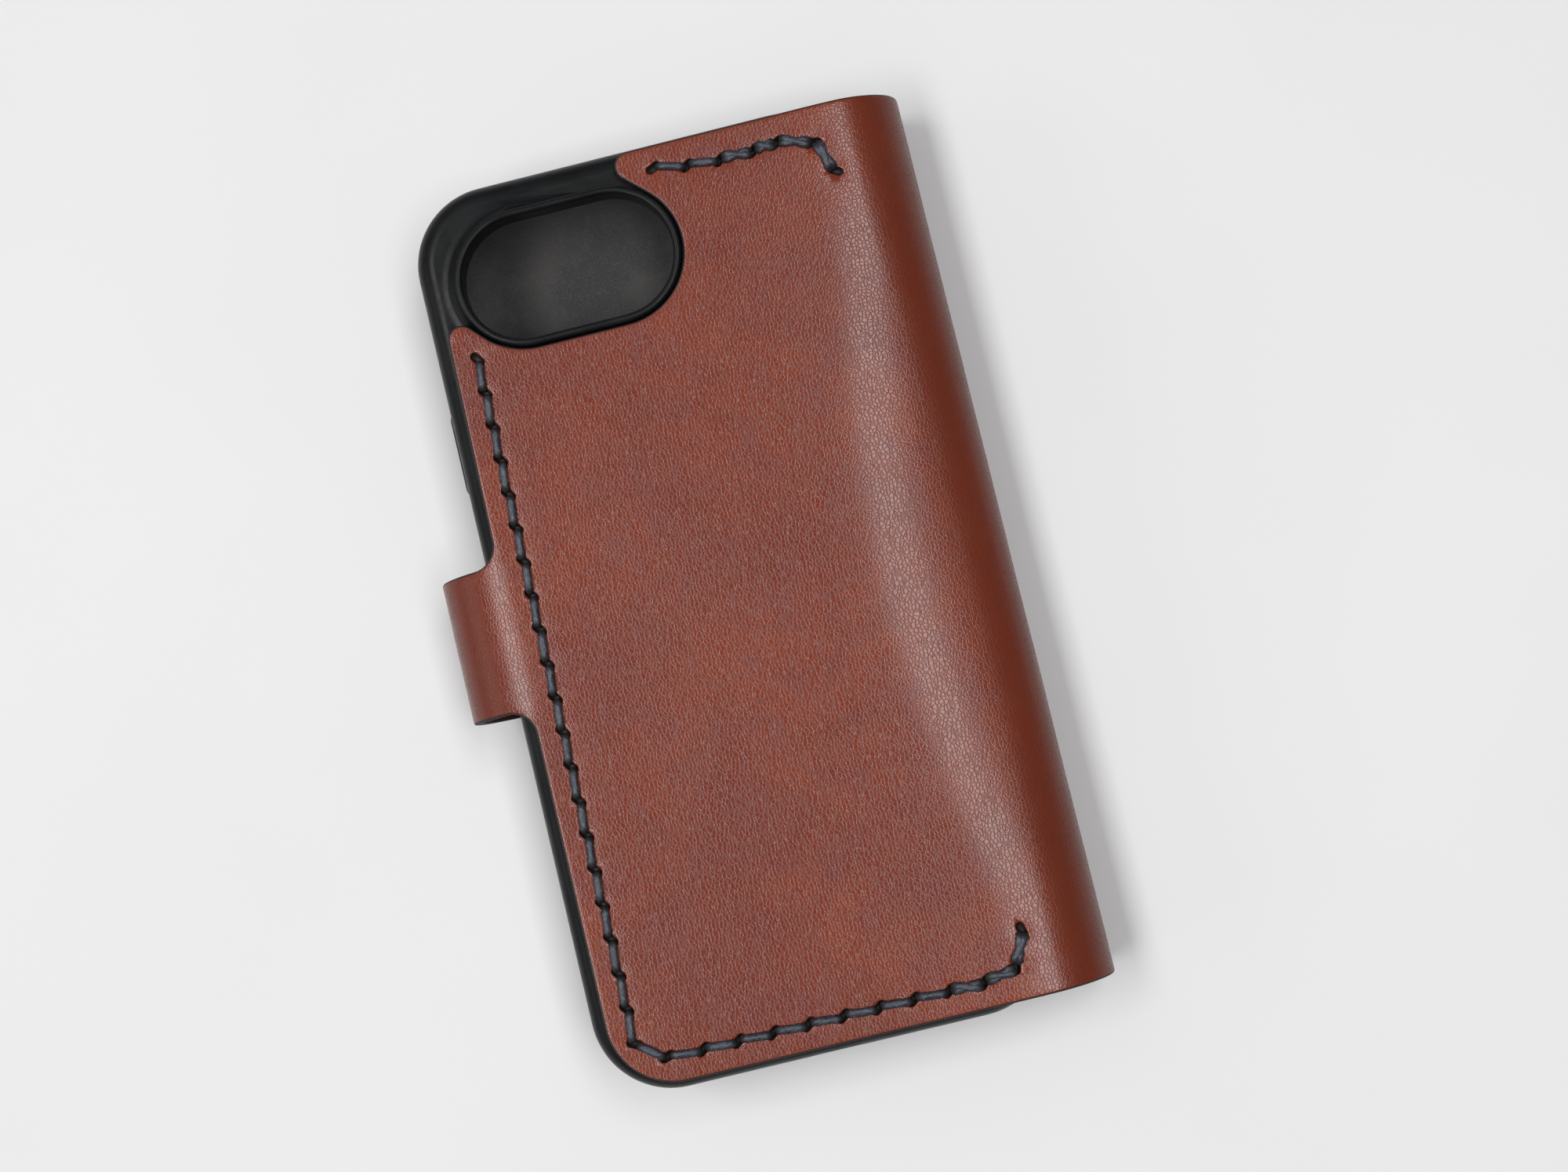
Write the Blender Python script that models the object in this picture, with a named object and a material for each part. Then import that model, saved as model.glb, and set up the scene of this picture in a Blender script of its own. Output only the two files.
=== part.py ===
"""A leather folio case for a phone, closed and lying face down.

One leather sheet runs from the closing tab, over the back of a soft shell, round the spine and
under the phone as the front cover. It is laid out flat in sheet coordinates (s across the case,
y along it, w out of the sheet's middle surface) and folded round two half-round bends.
The bends are cut into narrow strips that turn on hinges, so the cover and the tab can open.
"""
import math

import bmesh
import bpy
from mathutils import Matrix

MM = 0.001
GAP = 0.3  # clearance between pieces that touch
PAST = 1.0  # how far a cutter runs past the surface that it opens

# The phone that the case is made for, and the soft shell round it.
PHONE_WIDTH, PHONE_LENGTH, PHONE_DEPTH = 71.6, 146.8, 7.9
PHONE_CORNER = 11.2
WALL = 1.8
BACK_WALL = 1.7
FRONT_LIP = 1.0
LIP_OVERHANG = 1.2
BACK_EDGE_RADIUS = 3.5
FRONT_EDGE_RADIUS = 1.4
CORNER_STEPS = 8
EDGE_STEPS = 5

# The leather sheet.
LEATHER = 1.8
HALF_LEATHER = LEATHER / 2
SHEET_HALF_LENGTH = 73.7
FREE_EDGE = -34.9
CORNER = 11.0
SILHOUETTE = 46.2  # how far the spine and the tab's bend stand out from the middle

SPINE_START = 34.3
TAB_START = 34.9

# The camera window and its raised rim.
WINDOW_X, WINDOW_Y = -12.7, 57.75
WINDOW_HALF_STRAIGHT = 7.4
WINDOW_RADIUS = 10.05
RIM_RADIUS = 11.35
RIM_STANDS = 0.4  # above the leather
RIM_ROUNDING = 0.6
RIM_ROOT = 1.0  # how deep the rim stands in the shell's back

# The rear panel's edge round the camera: its two round corners beside the cut-out.
CUT_OUT_TOP_X, CUT_OUT_TOP_RADIUS = -1.6, 2.4
CUT_OUT_SIDE_Y, CUT_OUT_SIDE_RADIUS = 50.2, 2.3

# The closing tab and its press stud.
TAB_Y = 1.1
TAB_HALF_WIDTH = 11.9
TAB_FILLET = 4.0
TAB_TIP_RADIUS = 9.0
TAB_TIP_PAST_SNAP = 10.0
SNAP_X = -26.8
SNAP_GAP = 1.2  # between the tab and the cover
RECESS = 0.6
RECESS_CLEARANCE = 0.4
CAP_RADIUS, CAP_FLAT_RADIUS, CAP_STANDS = 5.0, 3.0, 0.6
CAP_SHOULDER_RADIUS, CAP_SHOULDER, CAP_EDGE = 4.3, 0.45, 0.1
CAP_SHANK_RADIUS, CAP_HOLE_RADIUS = 1.2, 1.6
DISC_RADIUS = 3.6
SOCKET_HOLE_RADIUS, SOCKET_HEIGHT, SOCKET_CHAMFER = 1.8, 1.0, 0.4
SOCKET_FACE_RADIUS = 2.9
STUD_STANDS = 0.2
KNOB_NECK_RADIUS, KNOB_RADIUS, KNOB_TIP_RADIUS = 1.3, 1.4, 1.2
KNOB_WIDEST, KNOB_HEIGHT = 0.4, 0.7
POST_RADIUS, POST_HOLE_RADIUS, POST_HEAD = 1.0, 1.3, 0.3
ROUND_STEPS = 28

# The folds: the hinge lines in each bend.
SPINE_HINGES = 4
TAB_HINGES = 3
BEND_STEPS = 32  # facets in half a turn

# The lining and the card pockets inside the cover.
LINING = 1.0
LINING_INSET = 2.2
LINING_FROM_SPINE = 5.0
POCKET_TOPS = (31.0, 17.0, 3.0)
NOTCH_RADIUS = 9.0
NOTCH_DEPTH = 4.0

# The sewing thread.
THREAD_RADIUS = 0.4
THREAD_SINK = 0.05
GROOVE_RADIUS = 0.75
THREAD_SIDES, GROOVE_SIDES = 6, 8
SEAM_INSET = 4.0
SEAM_BOTTOM_INSET = 4.2
SEAM_CORNER = 5.0
COVER_SEAM_INSET = 2.6
COVER_SEAM_FROM_LINING = 1.5
SIDE_SEAM_TOP, SIDE_SEAM_PITCH, SIDE_SEAM_HOLES = 47.3, 5.6, 21
BOTTOM_SEAM_START, BOTTOM_SEAM_PITCH, BOTTOM_SEAM_HOLES = -20.4, 5.7, 9
BOTTOM_SEAM_END = ((30.6, 1.3), (32.8, 6.5))  # x, and up from the seam's line
TOP_SEAM_START, TOP_SEAM_PITCH, TOP_SEAM_HOLES = 3.7, 5.4, 5
TOP_SEAM_END = ((31.2, 1.7), (33.6, 7.5))  # x, and down from the seam's line

# The openings in the shell's walls.
PORT_LENGTH, PORT_HEIGHT = 12.2, 6.2
SLOT_X, SLOT_LENGTH, SLOT_HEIGHT = 13.8, 8.6, 2.4
SLOT_END_FLAT = 0.01
OPENING_STEPS = 5
BUTTON_HEIGHT = 3.4
BUTTON_PROUD = 0.5
BUTTON_CHAMFER = 0.3
BUTTON_END_FLAT = 0.05
BUTTON_BEHIND = 0.6  # from the phone's side to the pad's back, so that it can be pressed
BUTTONS = {
    "power_button": (-1, 33.0, 14.0),
    "action_button": (1, 50.0, 5.5),
    "volume_up_button": (1, 36.0, 10.5),
    "volume_down_button": (1, 22.0, 10.5),
}

SHELL_WIDTH = PHONE_WIDTH + 2 * WALL
SHELL_LENGTH = PHONE_LENGTH + 2 * WALL

# The levels, from the press stud's cap upwards.
COVER_FACE = CAP_STANDS + LEATHER + SNAP_GAP
POCKETS_TOP = COVER_FACE + LEATHER + (1 + len(POCKET_TOPS)) * (GAP + LINING)
SHELL_BOTTOM = POCKETS_TOP + GAP
CAVITY_BOTTOM = SHELL_BOTTOM + FRONT_LIP
CAVITY_TOP = CAVITY_BOTTOM + PHONE_DEPTH
SHELL_TOP = CAVITY_TOP + BACK_WALL
REAR_FACE = SHELL_TOP + GAP + LEATHER
MIDDLE = REAR_FACE - HALF_LEATHER
RIM_TOP = REAR_FACE + RIM_STANDS
PORT_Z = (CAVITY_TOP + CAVITY_BOTTOM) / 2


class Bend:
    """A bend of the sheet through half a turn, on the side of +X (side 1) or -X (side -1).

    Its middle surface is three arcs: a wide one, a tighter one through the silhouette, and the
    wide one again. Every hinge turns the same share of the half turn.
    """

    def __init__(self, side, hinges, start, drop):
        self.side, self.hinges, self.start = side, hinges, start
        reach = SILHOUETTE - HALF_LEATHER - start
        lean = math.sin(math.pi / 4)
        # two equations: the arcs together drop by drop, and reach out to the silhouette
        wide = (reach - (1 - lean) * drop / (2 * lean)) / (lean - (1 - lean) ** 2 / lean)
        tight = (drop / 2 - (1 - lean) * wide) / lean
        self.arcs = ((wide, math.pi / 4), (tight, math.pi / 2), (wide, math.pi / 4))
        self.length = sum(radius * turn for radius, turn in self.arcs)
        self.step = math.pi / hinges
        # the slit at each hinge: its sides still clear each other when the bend lies flat
        self.slit = 2 * HALF_LEATHER * math.tan(self.step / 2) + GAP

    def reach_at(self, turned):
        """How far along the sheet the bend has turned through an angle."""
        reach = 0.0
        for radius, turn in self.arcs:
            part = min(turned, turn)
            reach += radius * part
            turned -= part
        return reach

    def hinge_reach(self, number):
        return self.reach_at(self.step * (number + 0.5))

    def place(self, reach, out):
        """The point at a reach from the bend's start along the sheet, and out from its middle."""
        x, z, turned = self.start + min(reach, 0.0), MIDDLE, 0.0
        reach = max(reach, 0.0)
        for radius, turn in self.arcs:
            part = min(reach / radius, turn)
            x += radius * (math.sin(turned + part) - math.sin(turned))
            z += radius * (math.cos(turned + part) - math.cos(turned))
            turned += part
            reach -= part * radius
        x += out * math.sin(turned) + reach * math.cos(turned)
        z += out * math.cos(turned) - reach * math.sin(turned)
        return self.side * x, z


COVER_MIDDLE = COVER_FACE + HALF_LEATHER
TAB_END_MIDDLE = CAP_STANDS + HALF_LEATHER
SPINE = Bend(1, SPINE_HINGES, SPINE_START, MIDDLE - COVER_MIDDLE)
TAB = Bend(-1, TAB_HINGES, TAB_START, MIDDLE - TAB_END_MIDDLE)


def fold(s, out):
    """Sheet coordinates to x and z. The sheet's s is x on the back of the case."""
    if s >= 0:
        return SPINE.place(s - SPINE.start, out)
    return TAB.place(-s - TAB.start, out)


def cover_s(x):
    """The sheet's s on the cover, under x."""
    return SPINE.start + SPINE.length + SPINE.start - x


COVER_EDGE = cover_s(FREE_EDGE)
SNAP_S = cover_s(SNAP_X)
TAB_SNAP_S = -(TAB.start + TAB.length + TAB.start + SNAP_X)
TAB_TIP = TAB_SNAP_S - TAB_TIP_PAST_SNAP


def clear_scene():
    for existing in list(bpy.data.objects):
        bpy.data.objects.remove(existing)


def make_material(name, colour, roughness, metallic=0.0):
    found = bpy.data.materials.get(name)
    if found:
        return found
    made = bpy.data.materials.new(name)
    made.use_nodes = True
    shader = made.node_tree.nodes["Principled BSDF"]
    shader.inputs["Base Color"].default_value = (*colour, 1)
    shader.inputs["Roughness"].default_value = roughness
    shader.inputs["Metallic"].default_value = metallic
    made.diffuse_color = (*colour, 1)
    return made


def leather():
    return make_material("tan_leather", (0.25, 0.075, 0.045), 0.45)


def lining_leather():
    return make_material("lining_leather", (0.035, 0.034, 0.033), 0.75)


def rubber():
    return make_material("black_rubber", (0.015, 0.016, 0.018), 0.55)


def thread():
    return make_material("black_thread", (0.02, 0.02, 0.025), 0.5)


def nickel():
    return make_material("nickel", (0.75, 0.73, 0.69), 0.25, 1.0)


def link(name, shape, surface):
    """A mesh in millimetres becomes a named object in metres, with its faces outwards."""
    bmesh.ops.recalc_face_normals(shape, faces=shape.faces)
    bmesh.ops.transform(shape, matrix=Matrix.Scale(MM, 4), verts=shape.verts)
    mesh = bpy.data.meshes.new(name)
    shape.to_mesh(mesh)
    shape.free()
    made = bpy.data.objects.new(name, mesh)
    bpy.context.scene.collection.objects.link(made)
    mesh.materials.append(surface)
    mesh.shade_smooth()
    mesh.set_sharp_from_angle(angle=math.radians(35))
    return made


def boolean(target, cutter, operation="DIFFERENCE"):
    cutter.hide_render = True
    cutter.display_type = "WIRE"
    cut = target.modifiers.new(cutter.name, "BOOLEAN")
    cut.object = cutter
    cut.operation = operation
    cut.solver = "EXACT"


def arc(centre, radius, start_deg, end_deg, steps):
    """Points on an arc, both ends included."""
    points = []
    for i in range(steps + 1):
        angle = math.radians(start_deg + (end_deg - start_deg) * i / steps)
        points.append((centre[0] + radius * math.cos(angle),
                       centre[1] + radius * math.sin(angle)))
    return points


def rounded_rectangle(width, length, radius, centre=(0.0, 0.0), steps=CORNER_STEPS):
    """An outline with round corners, anticlockwise from the right side's lower end."""
    half_x, half_y = width / 2 - radius, length / 2 - radius
    points = []
    for number, (sx, sy) in enumerate(((1, -1), (1, 1), (-1, 1), (-1, -1))):
        corner = (centre[0] + sx * half_x, centre[1] + sy * half_y)
        first = -90 + 90 * number
        points += arc(corner, radius, first, first + 90, steps)
    return points


def stadium(radius, steps=CORNER_STEPS):
    """The camera window's outline at a given end radius."""
    x, y = WINDOW_X, WINDOW_Y
    right = arc((x + WINDOW_HALF_STRAIGHT, y), radius, -90, 90, 2 * steps)
    left = arc((x - WINDOW_HALF_STRAIGHT, y), radius, 90, 270, 2 * steps)
    return right + left


def loft(levels):
    """A closed solid through outlines of equal point count, each (outline, height)."""
    shape = bmesh.new()
    rings = [[shape.verts.new((x, y, z)) for x, y in outline] for outline, z in levels]
    for low, high in zip(rings, rings[1:]):
        for i in range(len(low)):
            j = (i + 1) % len(low)
            shape.faces.new((low[i], low[j], high[j], high[i]))
    shape.faces.new(rings[0])
    shape.faces.new(rings[-1])
    return shape


def cutter_loft(name, levels):
    return link(name, loft(levels), rubber())


def side_cutter(name, length, height, centre, depth):
    """A round-ended slot through a wall: across Y where centre's x is an end wall's middle."""
    outline = rounded_rectangle(length, height, height / 2 - SLOT_END_FLAT,
                                steps=OPENING_STEPS)
    shape = loft([(outline, -depth / 2), (outline, depth / 2)])
    bmesh.ops.rotate(shape, verts=shape.verts, matrix=Matrix.Rotation(math.pi / 2, 3, "X"))
    if abs(centre[0]) > SHELL_WIDTH / 4:
        bmesh.ops.rotate(shape, verts=shape.verts, matrix=Matrix.Rotation(math.pi / 2, 3, "Z"))
    bmesh.ops.translate(shape, verts=shape.verts, vec=centre)
    return link(name, shape, rubber())


def swept(points, radius, sides=THREAD_SIDES):
    """A round cord through sheet points (s, y, out), folded with the sheet."""
    shape = bmesh.new()
    rings = []
    for i, (s, y, out) in enumerate(points):
        before, after = points[max(i - 1, 0)], points[min(i + 1, len(points) - 1)]
        ds, dy = after[0] - before[0], after[1] - before[1]
        size = math.hypot(ds, dy)
        across = (-dy / size, ds / size)
        ring = []
        for k in range(sides):
            angle = 2 * math.pi * (k + 0.5) / sides
            shift, lift = radius * math.cos(angle), radius * math.sin(angle)
            x, z = fold(s + shift * across[0], out + lift)
            ring.append(shape.verts.new((x, y + shift * across[1], z)))
        rings.append(ring)
    for first, second in zip(rings, rings[1:]):
        for i in range(sides):
            j = (i + 1) % sides
            shape.faces.new((first[i], first[j], second[j], second[i]))
    shape.faces.new(rings[0])
    shape.faces.new(rings[-1])
    return shape


def cut_lines(bend, low, high):
    """The sheet's s at each facet line of a bend that lies between two places."""
    turns = [math.pi * i / BEND_STEPS for i in range(BEND_STEPS + 1)]
    lines = [bend.side * (bend.start + bend.reach_at(turned)) for turned in turns]
    return [s for s in lines if low + 0.1 < s < high - 0.1]


def sheet(name, outline, surface, inner=-HALF_LEATHER, outer=HALF_LEATHER):
    """A flat outline in (s, y), given a thickness and folded round the bends."""
    shape = bmesh.new()
    base = shape.faces.new([shape.verts.new((s, y, inner)) for s, y in outline])
    low, high = min(p[0] for p in outline), max(p[0] for p in outline)
    for line in cut_lines(TAB, low, high) + cut_lines(SPINE, low, high):
        bmesh.ops.bisect_plane(
            shape, geom=shape.verts[:] + shape.edges[:] + shape.faces[:], dist=1e-5,
            plane_co=(line, 0, 0), plane_no=(1, 0, 0))
    grown = bmesh.ops.extrude_face_region(shape, geom=shape.faces[:])["geom"]
    top = [item for item in grown if isinstance(item, bmesh.types.BMVert)]
    bmesh.ops.translate(shape, verts=top, vec=(0, 0, outer - inner))
    for vert in shape.verts:
        s, y, out = vert.co
        x, z = fold(s, out)
        vert.co = (x, y, z)
    bmesh.ops.triangulate(shape, faces=[f for f in shape.faces if len(f.verts) > 4])
    return link(name, shape, surface)


def turned(name, profile, s, out, surface, closed=False, y=TAB_Y):
    """A round piece from (radius, out) points, its axis square to the sheet at s."""
    shape = bmesh.new()
    origin_x, origin_z = fold(s, out)
    tip_x, tip_z = fold(s, out + 1)
    axis_x, axis_z = tip_x - origin_x, tip_z - origin_z
    rings = []
    for radius, along in profile:
        count = ROUND_STEPS if radius > 0 else 1
        ring = []
        for k in range(count):
            angle = 2 * math.pi * k / ROUND_STEPS
            side, length = radius * math.cos(angle), radius * math.sin(angle)
            ring.append(shape.verts.new((origin_x + along * axis_x + side * axis_z,
                                         y + length,
                                         origin_z + along * axis_z - side * axis_x)))
        rings.append(ring)
    pairs = list(zip(rings, rings[1:])) + ([(rings[-1], rings[0])] if closed else [])
    for first, second in pairs:
        for k in range(ROUND_STEPS):
            j = (k + 1) % ROUND_STEPS
            corners = [first[k % len(first)], first[j % len(first)],
                       second[j % len(second)], second[k % len(second)]]
            distinct = list(dict.fromkeys(corners))
            shape.faces.new(distinct)
    return link(name, shape, surface)


def disc_cutter(name, radius, s, low, high):
    """A round hole or recess in the sheet between two places out of its middle."""
    profile = [(0, low), (radius, low), (radius, high), (0, high)]
    return turned(name, profile, s, 0, leather())


# ---------------------------------------------------------------- the shell

def shell_outline(inset):
    radius = PHONE_CORNER + WALL - inset
    return rounded_rectangle(SHELL_WIDTH - 2 * inset, SHELL_LENGTH - 2 * inset, radius)


def shell_levels():
    """The shell's outside, with a rounded front edge and a fuller back edge."""
    levels = []
    for i in range(EDGE_STEPS + 1):
        angle = math.pi / 2 * i / EDGE_STEPS
        inset = FRONT_EDGE_RADIUS * (1 - math.sin(angle))
        rise = FRONT_EDGE_RADIUS * (1 - math.cos(angle))
        levels.append((shell_outline(inset), SHELL_BOTTOM + rise))
    for i in range(EDGE_STEPS + 1):
        angle = math.pi / 2 * i / EDGE_STEPS
        inset = BACK_EDGE_RADIUS * (1 - math.cos(angle))
        drop = BACK_EDGE_RADIUS * (1 - math.sin(angle))
        levels.append((shell_outline(inset), SHELL_TOP - drop))
    return levels


def make_shell():
    shell = link("shell", loft(shell_levels()), rubber())
    rim_levels = [(stadium(RIM_RADIUS), SHELL_TOP - RIM_ROOT),
                  (stadium(RIM_RADIUS), RIM_TOP - RIM_ROUNDING),
                  (stadium(RIM_RADIUS - RIM_ROUNDING / 3), RIM_TOP - RIM_ROUNDING / 3),
                  (stadium(RIM_RADIUS - RIM_ROUNDING), RIM_TOP)]
    boolean(shell, cutter_loft("rim_body", rim_levels), "UNION")
    cavity = rounded_rectangle(PHONE_WIDTH, PHONE_LENGTH, PHONE_CORNER)
    boolean(shell, cutter_loft("phone_cutter", [(cavity, CAVITY_BOTTOM), (cavity, CAVITY_TOP)]))
    mouth = rounded_rectangle(PHONE_WIDTH - 2 * LIP_OVERHANG, PHONE_LENGTH - 2 * LIP_OVERHANG,
                              PHONE_CORNER - LIP_OVERHANG)
    mouth_levels = [(mouth, SHELL_BOTTOM - PAST), (mouth, CAVITY_BOTTOM + PAST)]
    boolean(shell, cutter_loft("mouth_cutter", mouth_levels))
    window = stadium(WINDOW_RADIUS)
    window_levels = [(window, CAVITY_TOP - PAST), (window, RIM_TOP + PAST)]
    boolean(shell, cutter_loft("window_cutter", window_levels))
    end_y = -(SHELL_LENGTH - WALL) / 2
    port = side_cutter("port_cutter", PORT_LENGTH, PORT_HEIGHT, (0, end_y, PORT_Z), 3 * WALL)
    boolean(shell, port)
    for side, label in ((-1, "left"), (1, "right")):
        place = (side * SLOT_X, end_y, PORT_Z)
        slot = side_cutter(f"slot_{label}_cutter", SLOT_LENGTH, SLOT_HEIGHT, place, 3 * WALL)
        boolean(shell, slot)
    for name, (side, y, length) in BUTTONS.items():
        place = (side * (SHELL_WIDTH - WALL) / 2, y, PORT_Z)
        hole = side_cutter(f"{name}_cutter", length + 2 * GAP, BUTTON_HEIGHT + 2 * GAP,
                           place, 3 * WALL)
        boolean(shell, hole)


def make_button(name, side, y, length):
    """A rounded pad that slides through its window in the side wall."""
    inner = SHELL_WIDTH / 2 - WALL + BUTTON_BEHIND
    outer = SHELL_WIDTH / 2 + BUTTON_PROUD
    outlines = []
    for inset in (0.0, BUTTON_CHAMFER):
        width, height = length - 2 * inset, BUTTON_HEIGHT - 2 * inset
        outlines.append(rounded_rectangle(width, height, height / 2 - BUTTON_END_FLAT,
                                          steps=OPENING_STEPS))
    full, crown = outlines
    shape = loft([(full, inner), (full, outer - BUTTON_CHAMFER), (crown, outer)])
    bmesh.ops.rotate(shape, verts=shape.verts, matrix=Matrix.Rotation(math.pi / 2, 3, "X"))
    bmesh.ops.rotate(shape, verts=shape.verts, matrix=Matrix.Rotation(math.pi / 2, 3, "Z"))
    if side < 0:
        bmesh.ops.rotate(shape, verts=shape.verts, matrix=Matrix.Rotation(math.pi, 3, "Z"))
    bmesh.ops.translate(shape, verts=shape.verts, vec=(0, y, PORT_Z))
    link(name, shape, rubber())


# ---------------------------------------------------------------- the leather sheet

def tangent_deg(first, first_radius, second, second_radius, side):
    """The direction in which a line that crosses between two circles touches the first one."""
    dx, dy = second[0] - first[0], second[1] - first[1]
    spread = math.acos((first_radius + second_radius) / math.hypot(dx, dy))
    return math.degrees(math.atan2(dy, dx) + side * spread)


def camera_cut_out():
    """The rear panel's edge round the camera rim, from the top edge to the left edge."""
    reach = RIM_RADIUS + GAP
    right = (WINDOW_X + WINDOW_HALF_STRAIGHT, WINDOW_Y)
    left = (WINDOW_X - WINDOW_HALF_STRAIGHT, WINDOW_Y)
    top_radius, side_radius = CUT_OUT_TOP_RADIUS, CUT_OUT_SIDE_RADIUS
    top = (CUT_OUT_TOP_X + top_radius, SHEET_HALF_LENGTH - top_radius)
    side = (FREE_EDGE + side_radius, CUT_OUT_SIDE_Y)
    top_deg = tangent_deg(top, top_radius, right, reach, -1)
    side_deg = tangent_deg(side, side_radius, left, reach, 1)
    points = arc(top, top_radius, 90, top_deg % 360, 6)
    points += arc(right, reach, top_deg % 360 - 180, -90, 14)
    points += arc(left, reach, -90, side_deg - 180, 8)
    points += arc(side, side_radius, side_deg, 180, 6)
    return points


def tab_edge(reach, side):
    """The tab's half-width outline: a round flare where it leaves the rear panel."""
    flare = max(TAB_FILLET - reach, 0)
    width = TAB_HALF_WIDTH + TAB_FILLET - math.sqrt(TAB_FILLET ** 2 - flare ** 2)
    return TAB_Y + side * width


def slit_edges(bend, number):
    """The sheet's s on both sides of a hinge, nearest the rear panel first."""
    s = bend.start + bend.hinge_reach(number)
    return bend.side * (s - bend.slit / 2), bend.side * (s + bend.slit / 2)


def tab_side(first, last, side, steps=5):
    """Points along one edge of the tab between two places on the sheet."""
    places = [first + (last - first) * i / steps for i in range(steps + 1)]
    return [(s, tab_edge(FREE_EDGE - s, side)) for s in places]


def rear_outline():
    spine_end = slit_edges(SPINE, 0)[0]
    tab_end = slit_edges(TAB, 0)[0]
    half = SHEET_HALF_LENGTH
    points = [(spine_end, -half), (spine_end, half)]
    points += camera_cut_out()
    points += tab_side(FREE_EDGE, tab_end, 1)
    points += reversed(tab_side(FREE_EDGE, tab_end, -1))
    points += arc((FREE_EDGE + CORNER, -half + CORNER), CORNER, 180, 270, CORNER_STEPS)
    return points


def make_rear_panel():
    panel = sheet("rear_panel", rear_outline(), leather())
    for name, route in (("side", side_seam()), ("top", top_seam())):
        groove = swept(route, GROOVE_RADIUS, GROOVE_SIDES)
        boolean(panel, link(f"groove_{name}_cutter", groove, leather()))


def make_spine_strips():
    half = SHEET_HALF_LENGTH
    for number in range(SPINE_HINGES - 1):
        low = slit_edges(SPINE, number)[1]
        high = slit_edges(SPINE, number + 1)[0]
        outline = [(low, -half), (high, -half), (high, half), (low, half)]
        sheet(f"spine_strip_{number + 1}", outline, leather())


def make_tab_strips():
    for number in range(TAB_HINGES - 1):
        near = slit_edges(TAB, number)[1]
        far = slit_edges(TAB, number + 1)[0]
        outline = tab_side(far, near, -1) + list(reversed(tab_side(far, near, 1)))
        sheet(f"tab_strip_{number + 1}", outline, leather())


def make_tab_end():
    near = slit_edges(TAB, TAB_HINGES - 1)[1]
    low, high = TAB_Y - TAB_HALF_WIDTH, TAB_Y + TAB_HALF_WIDTH
    round_s = TAB_TIP + TAB_TIP_RADIUS
    outline = [(near, low), (near, high)]
    outline += arc((round_s, high - TAB_TIP_RADIUS), TAB_TIP_RADIUS, 90, 180, CORNER_STEPS)
    outline += arc((round_s, low + TAB_TIP_RADIUS), TAB_TIP_RADIUS, 180, 270, CORNER_STEPS)
    end = sheet("tab_end", outline, leather())
    boolean(end, disc_cutter("cap_recess_cutter", CAP_RADIUS + RECESS_CLEARANCE, TAB_SNAP_S,
                             HALF_LEATHER - RECESS, HALF_LEATHER + PAST))
    boolean(end, disc_cutter("socket_recess_cutter", DISC_RADIUS + RECESS_CLEARANCE, TAB_SNAP_S,
                             -HALF_LEATHER - PAST, -HALF_LEATHER + RECESS))
    boolean(end, disc_cutter("cap_hole_cutter", CAP_HOLE_RADIUS, TAB_SNAP_S,
                             -HALF_LEATHER - PAST, HALF_LEATHER + PAST))


def cover_outline(edge, half, low, corner):
    """An outline on the cover from its spine side to its round-cornered free edge."""
    return ([(low, half), (low, -half)]
            + arc((edge - corner, -half + corner), corner, -90, 0, CORNER_STEPS)
            + arc((edge - corner, half - corner), corner, 0, 90, CORNER_STEPS))


def make_front_cover():
    low = slit_edges(SPINE, SPINE_HINGES - 1)[1]
    outline = cover_outline(COVER_EDGE, SHEET_HALF_LENGTH, low, CORNER)
    cover = sheet("front_cover", outline, leather())
    groove = swept(cover_seam(), GROOVE_RADIUS, GROOVE_SIDES)
    boolean(cover, link("groove_cover_cutter", groove, leather()))
    boolean(cover, disc_cutter("stud_recess_cutter", DISC_RADIUS + RECESS_CLEARANCE, SNAP_S,
                               HALF_LEATHER - RECESS, HALF_LEATHER + PAST))
    boolean(cover, disc_cutter("post_recess_cutter", DISC_RADIUS + RECESS_CLEARANCE, SNAP_S,
                               -HALF_LEATHER - PAST, -HALF_LEATHER + RECESS))
    boolean(cover, disc_cutter("post_hole_cutter", POST_HOLE_RADIUS, SNAP_S,
                               -HALF_LEATHER - PAST, HALF_LEATHER + PAST))


def layer_levels(number):
    """The inner and outer faces of one lining layer, counted from the cover's leather."""
    outer = -HALF_LEATHER - GAP - number * (LINING + GAP)
    return outer - LINING, outer


def make_lining():
    inner, outer = layer_levels(0)
    low = SPINE.start + SPINE.length + LINING_FROM_SPINE
    outline = cover_outline(COVER_EDGE - LINING_INSET, SHEET_HALF_LENGTH - LINING_INSET, low,
                            CORNER - LINING_INSET)
    sheet("cover_lining", outline, lining_leather(), inner, outer)


def make_card_pocket(number, top):
    """A pocket panel with a thumb notch in the middle of its mouth."""
    inner, outer = layer_levels(number)
    edge = COVER_EDGE - LINING_INSET
    bottom = -SHEET_HALF_LENGTH + LINING_INSET
    corner = CORNER - LINING_INSET
    low = SPINE.start + SPINE.length + LINING_FROM_SPINE
    middle = (low + edge) / 2
    centre = (middle, top + NOTCH_RADIUS - NOTCH_DEPTH)
    half_deg = math.degrees(math.acos(1 - NOTCH_DEPTH / NOTCH_RADIUS))
    outline = [(low, top), (low, bottom)]
    outline += arc((edge - corner, bottom + corner), corner, -90, 0, CORNER_STEPS)
    outline += [(edge, top)]
    outline += arc(centre, NOTCH_RADIUS, 270 + half_deg, 270 - half_deg, CORNER_STEPS)
    sheet(f"card_pocket_{number}", outline, lining_leather(), inner, outer)


# ---------------------------------------------------------------- the sewing

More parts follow.
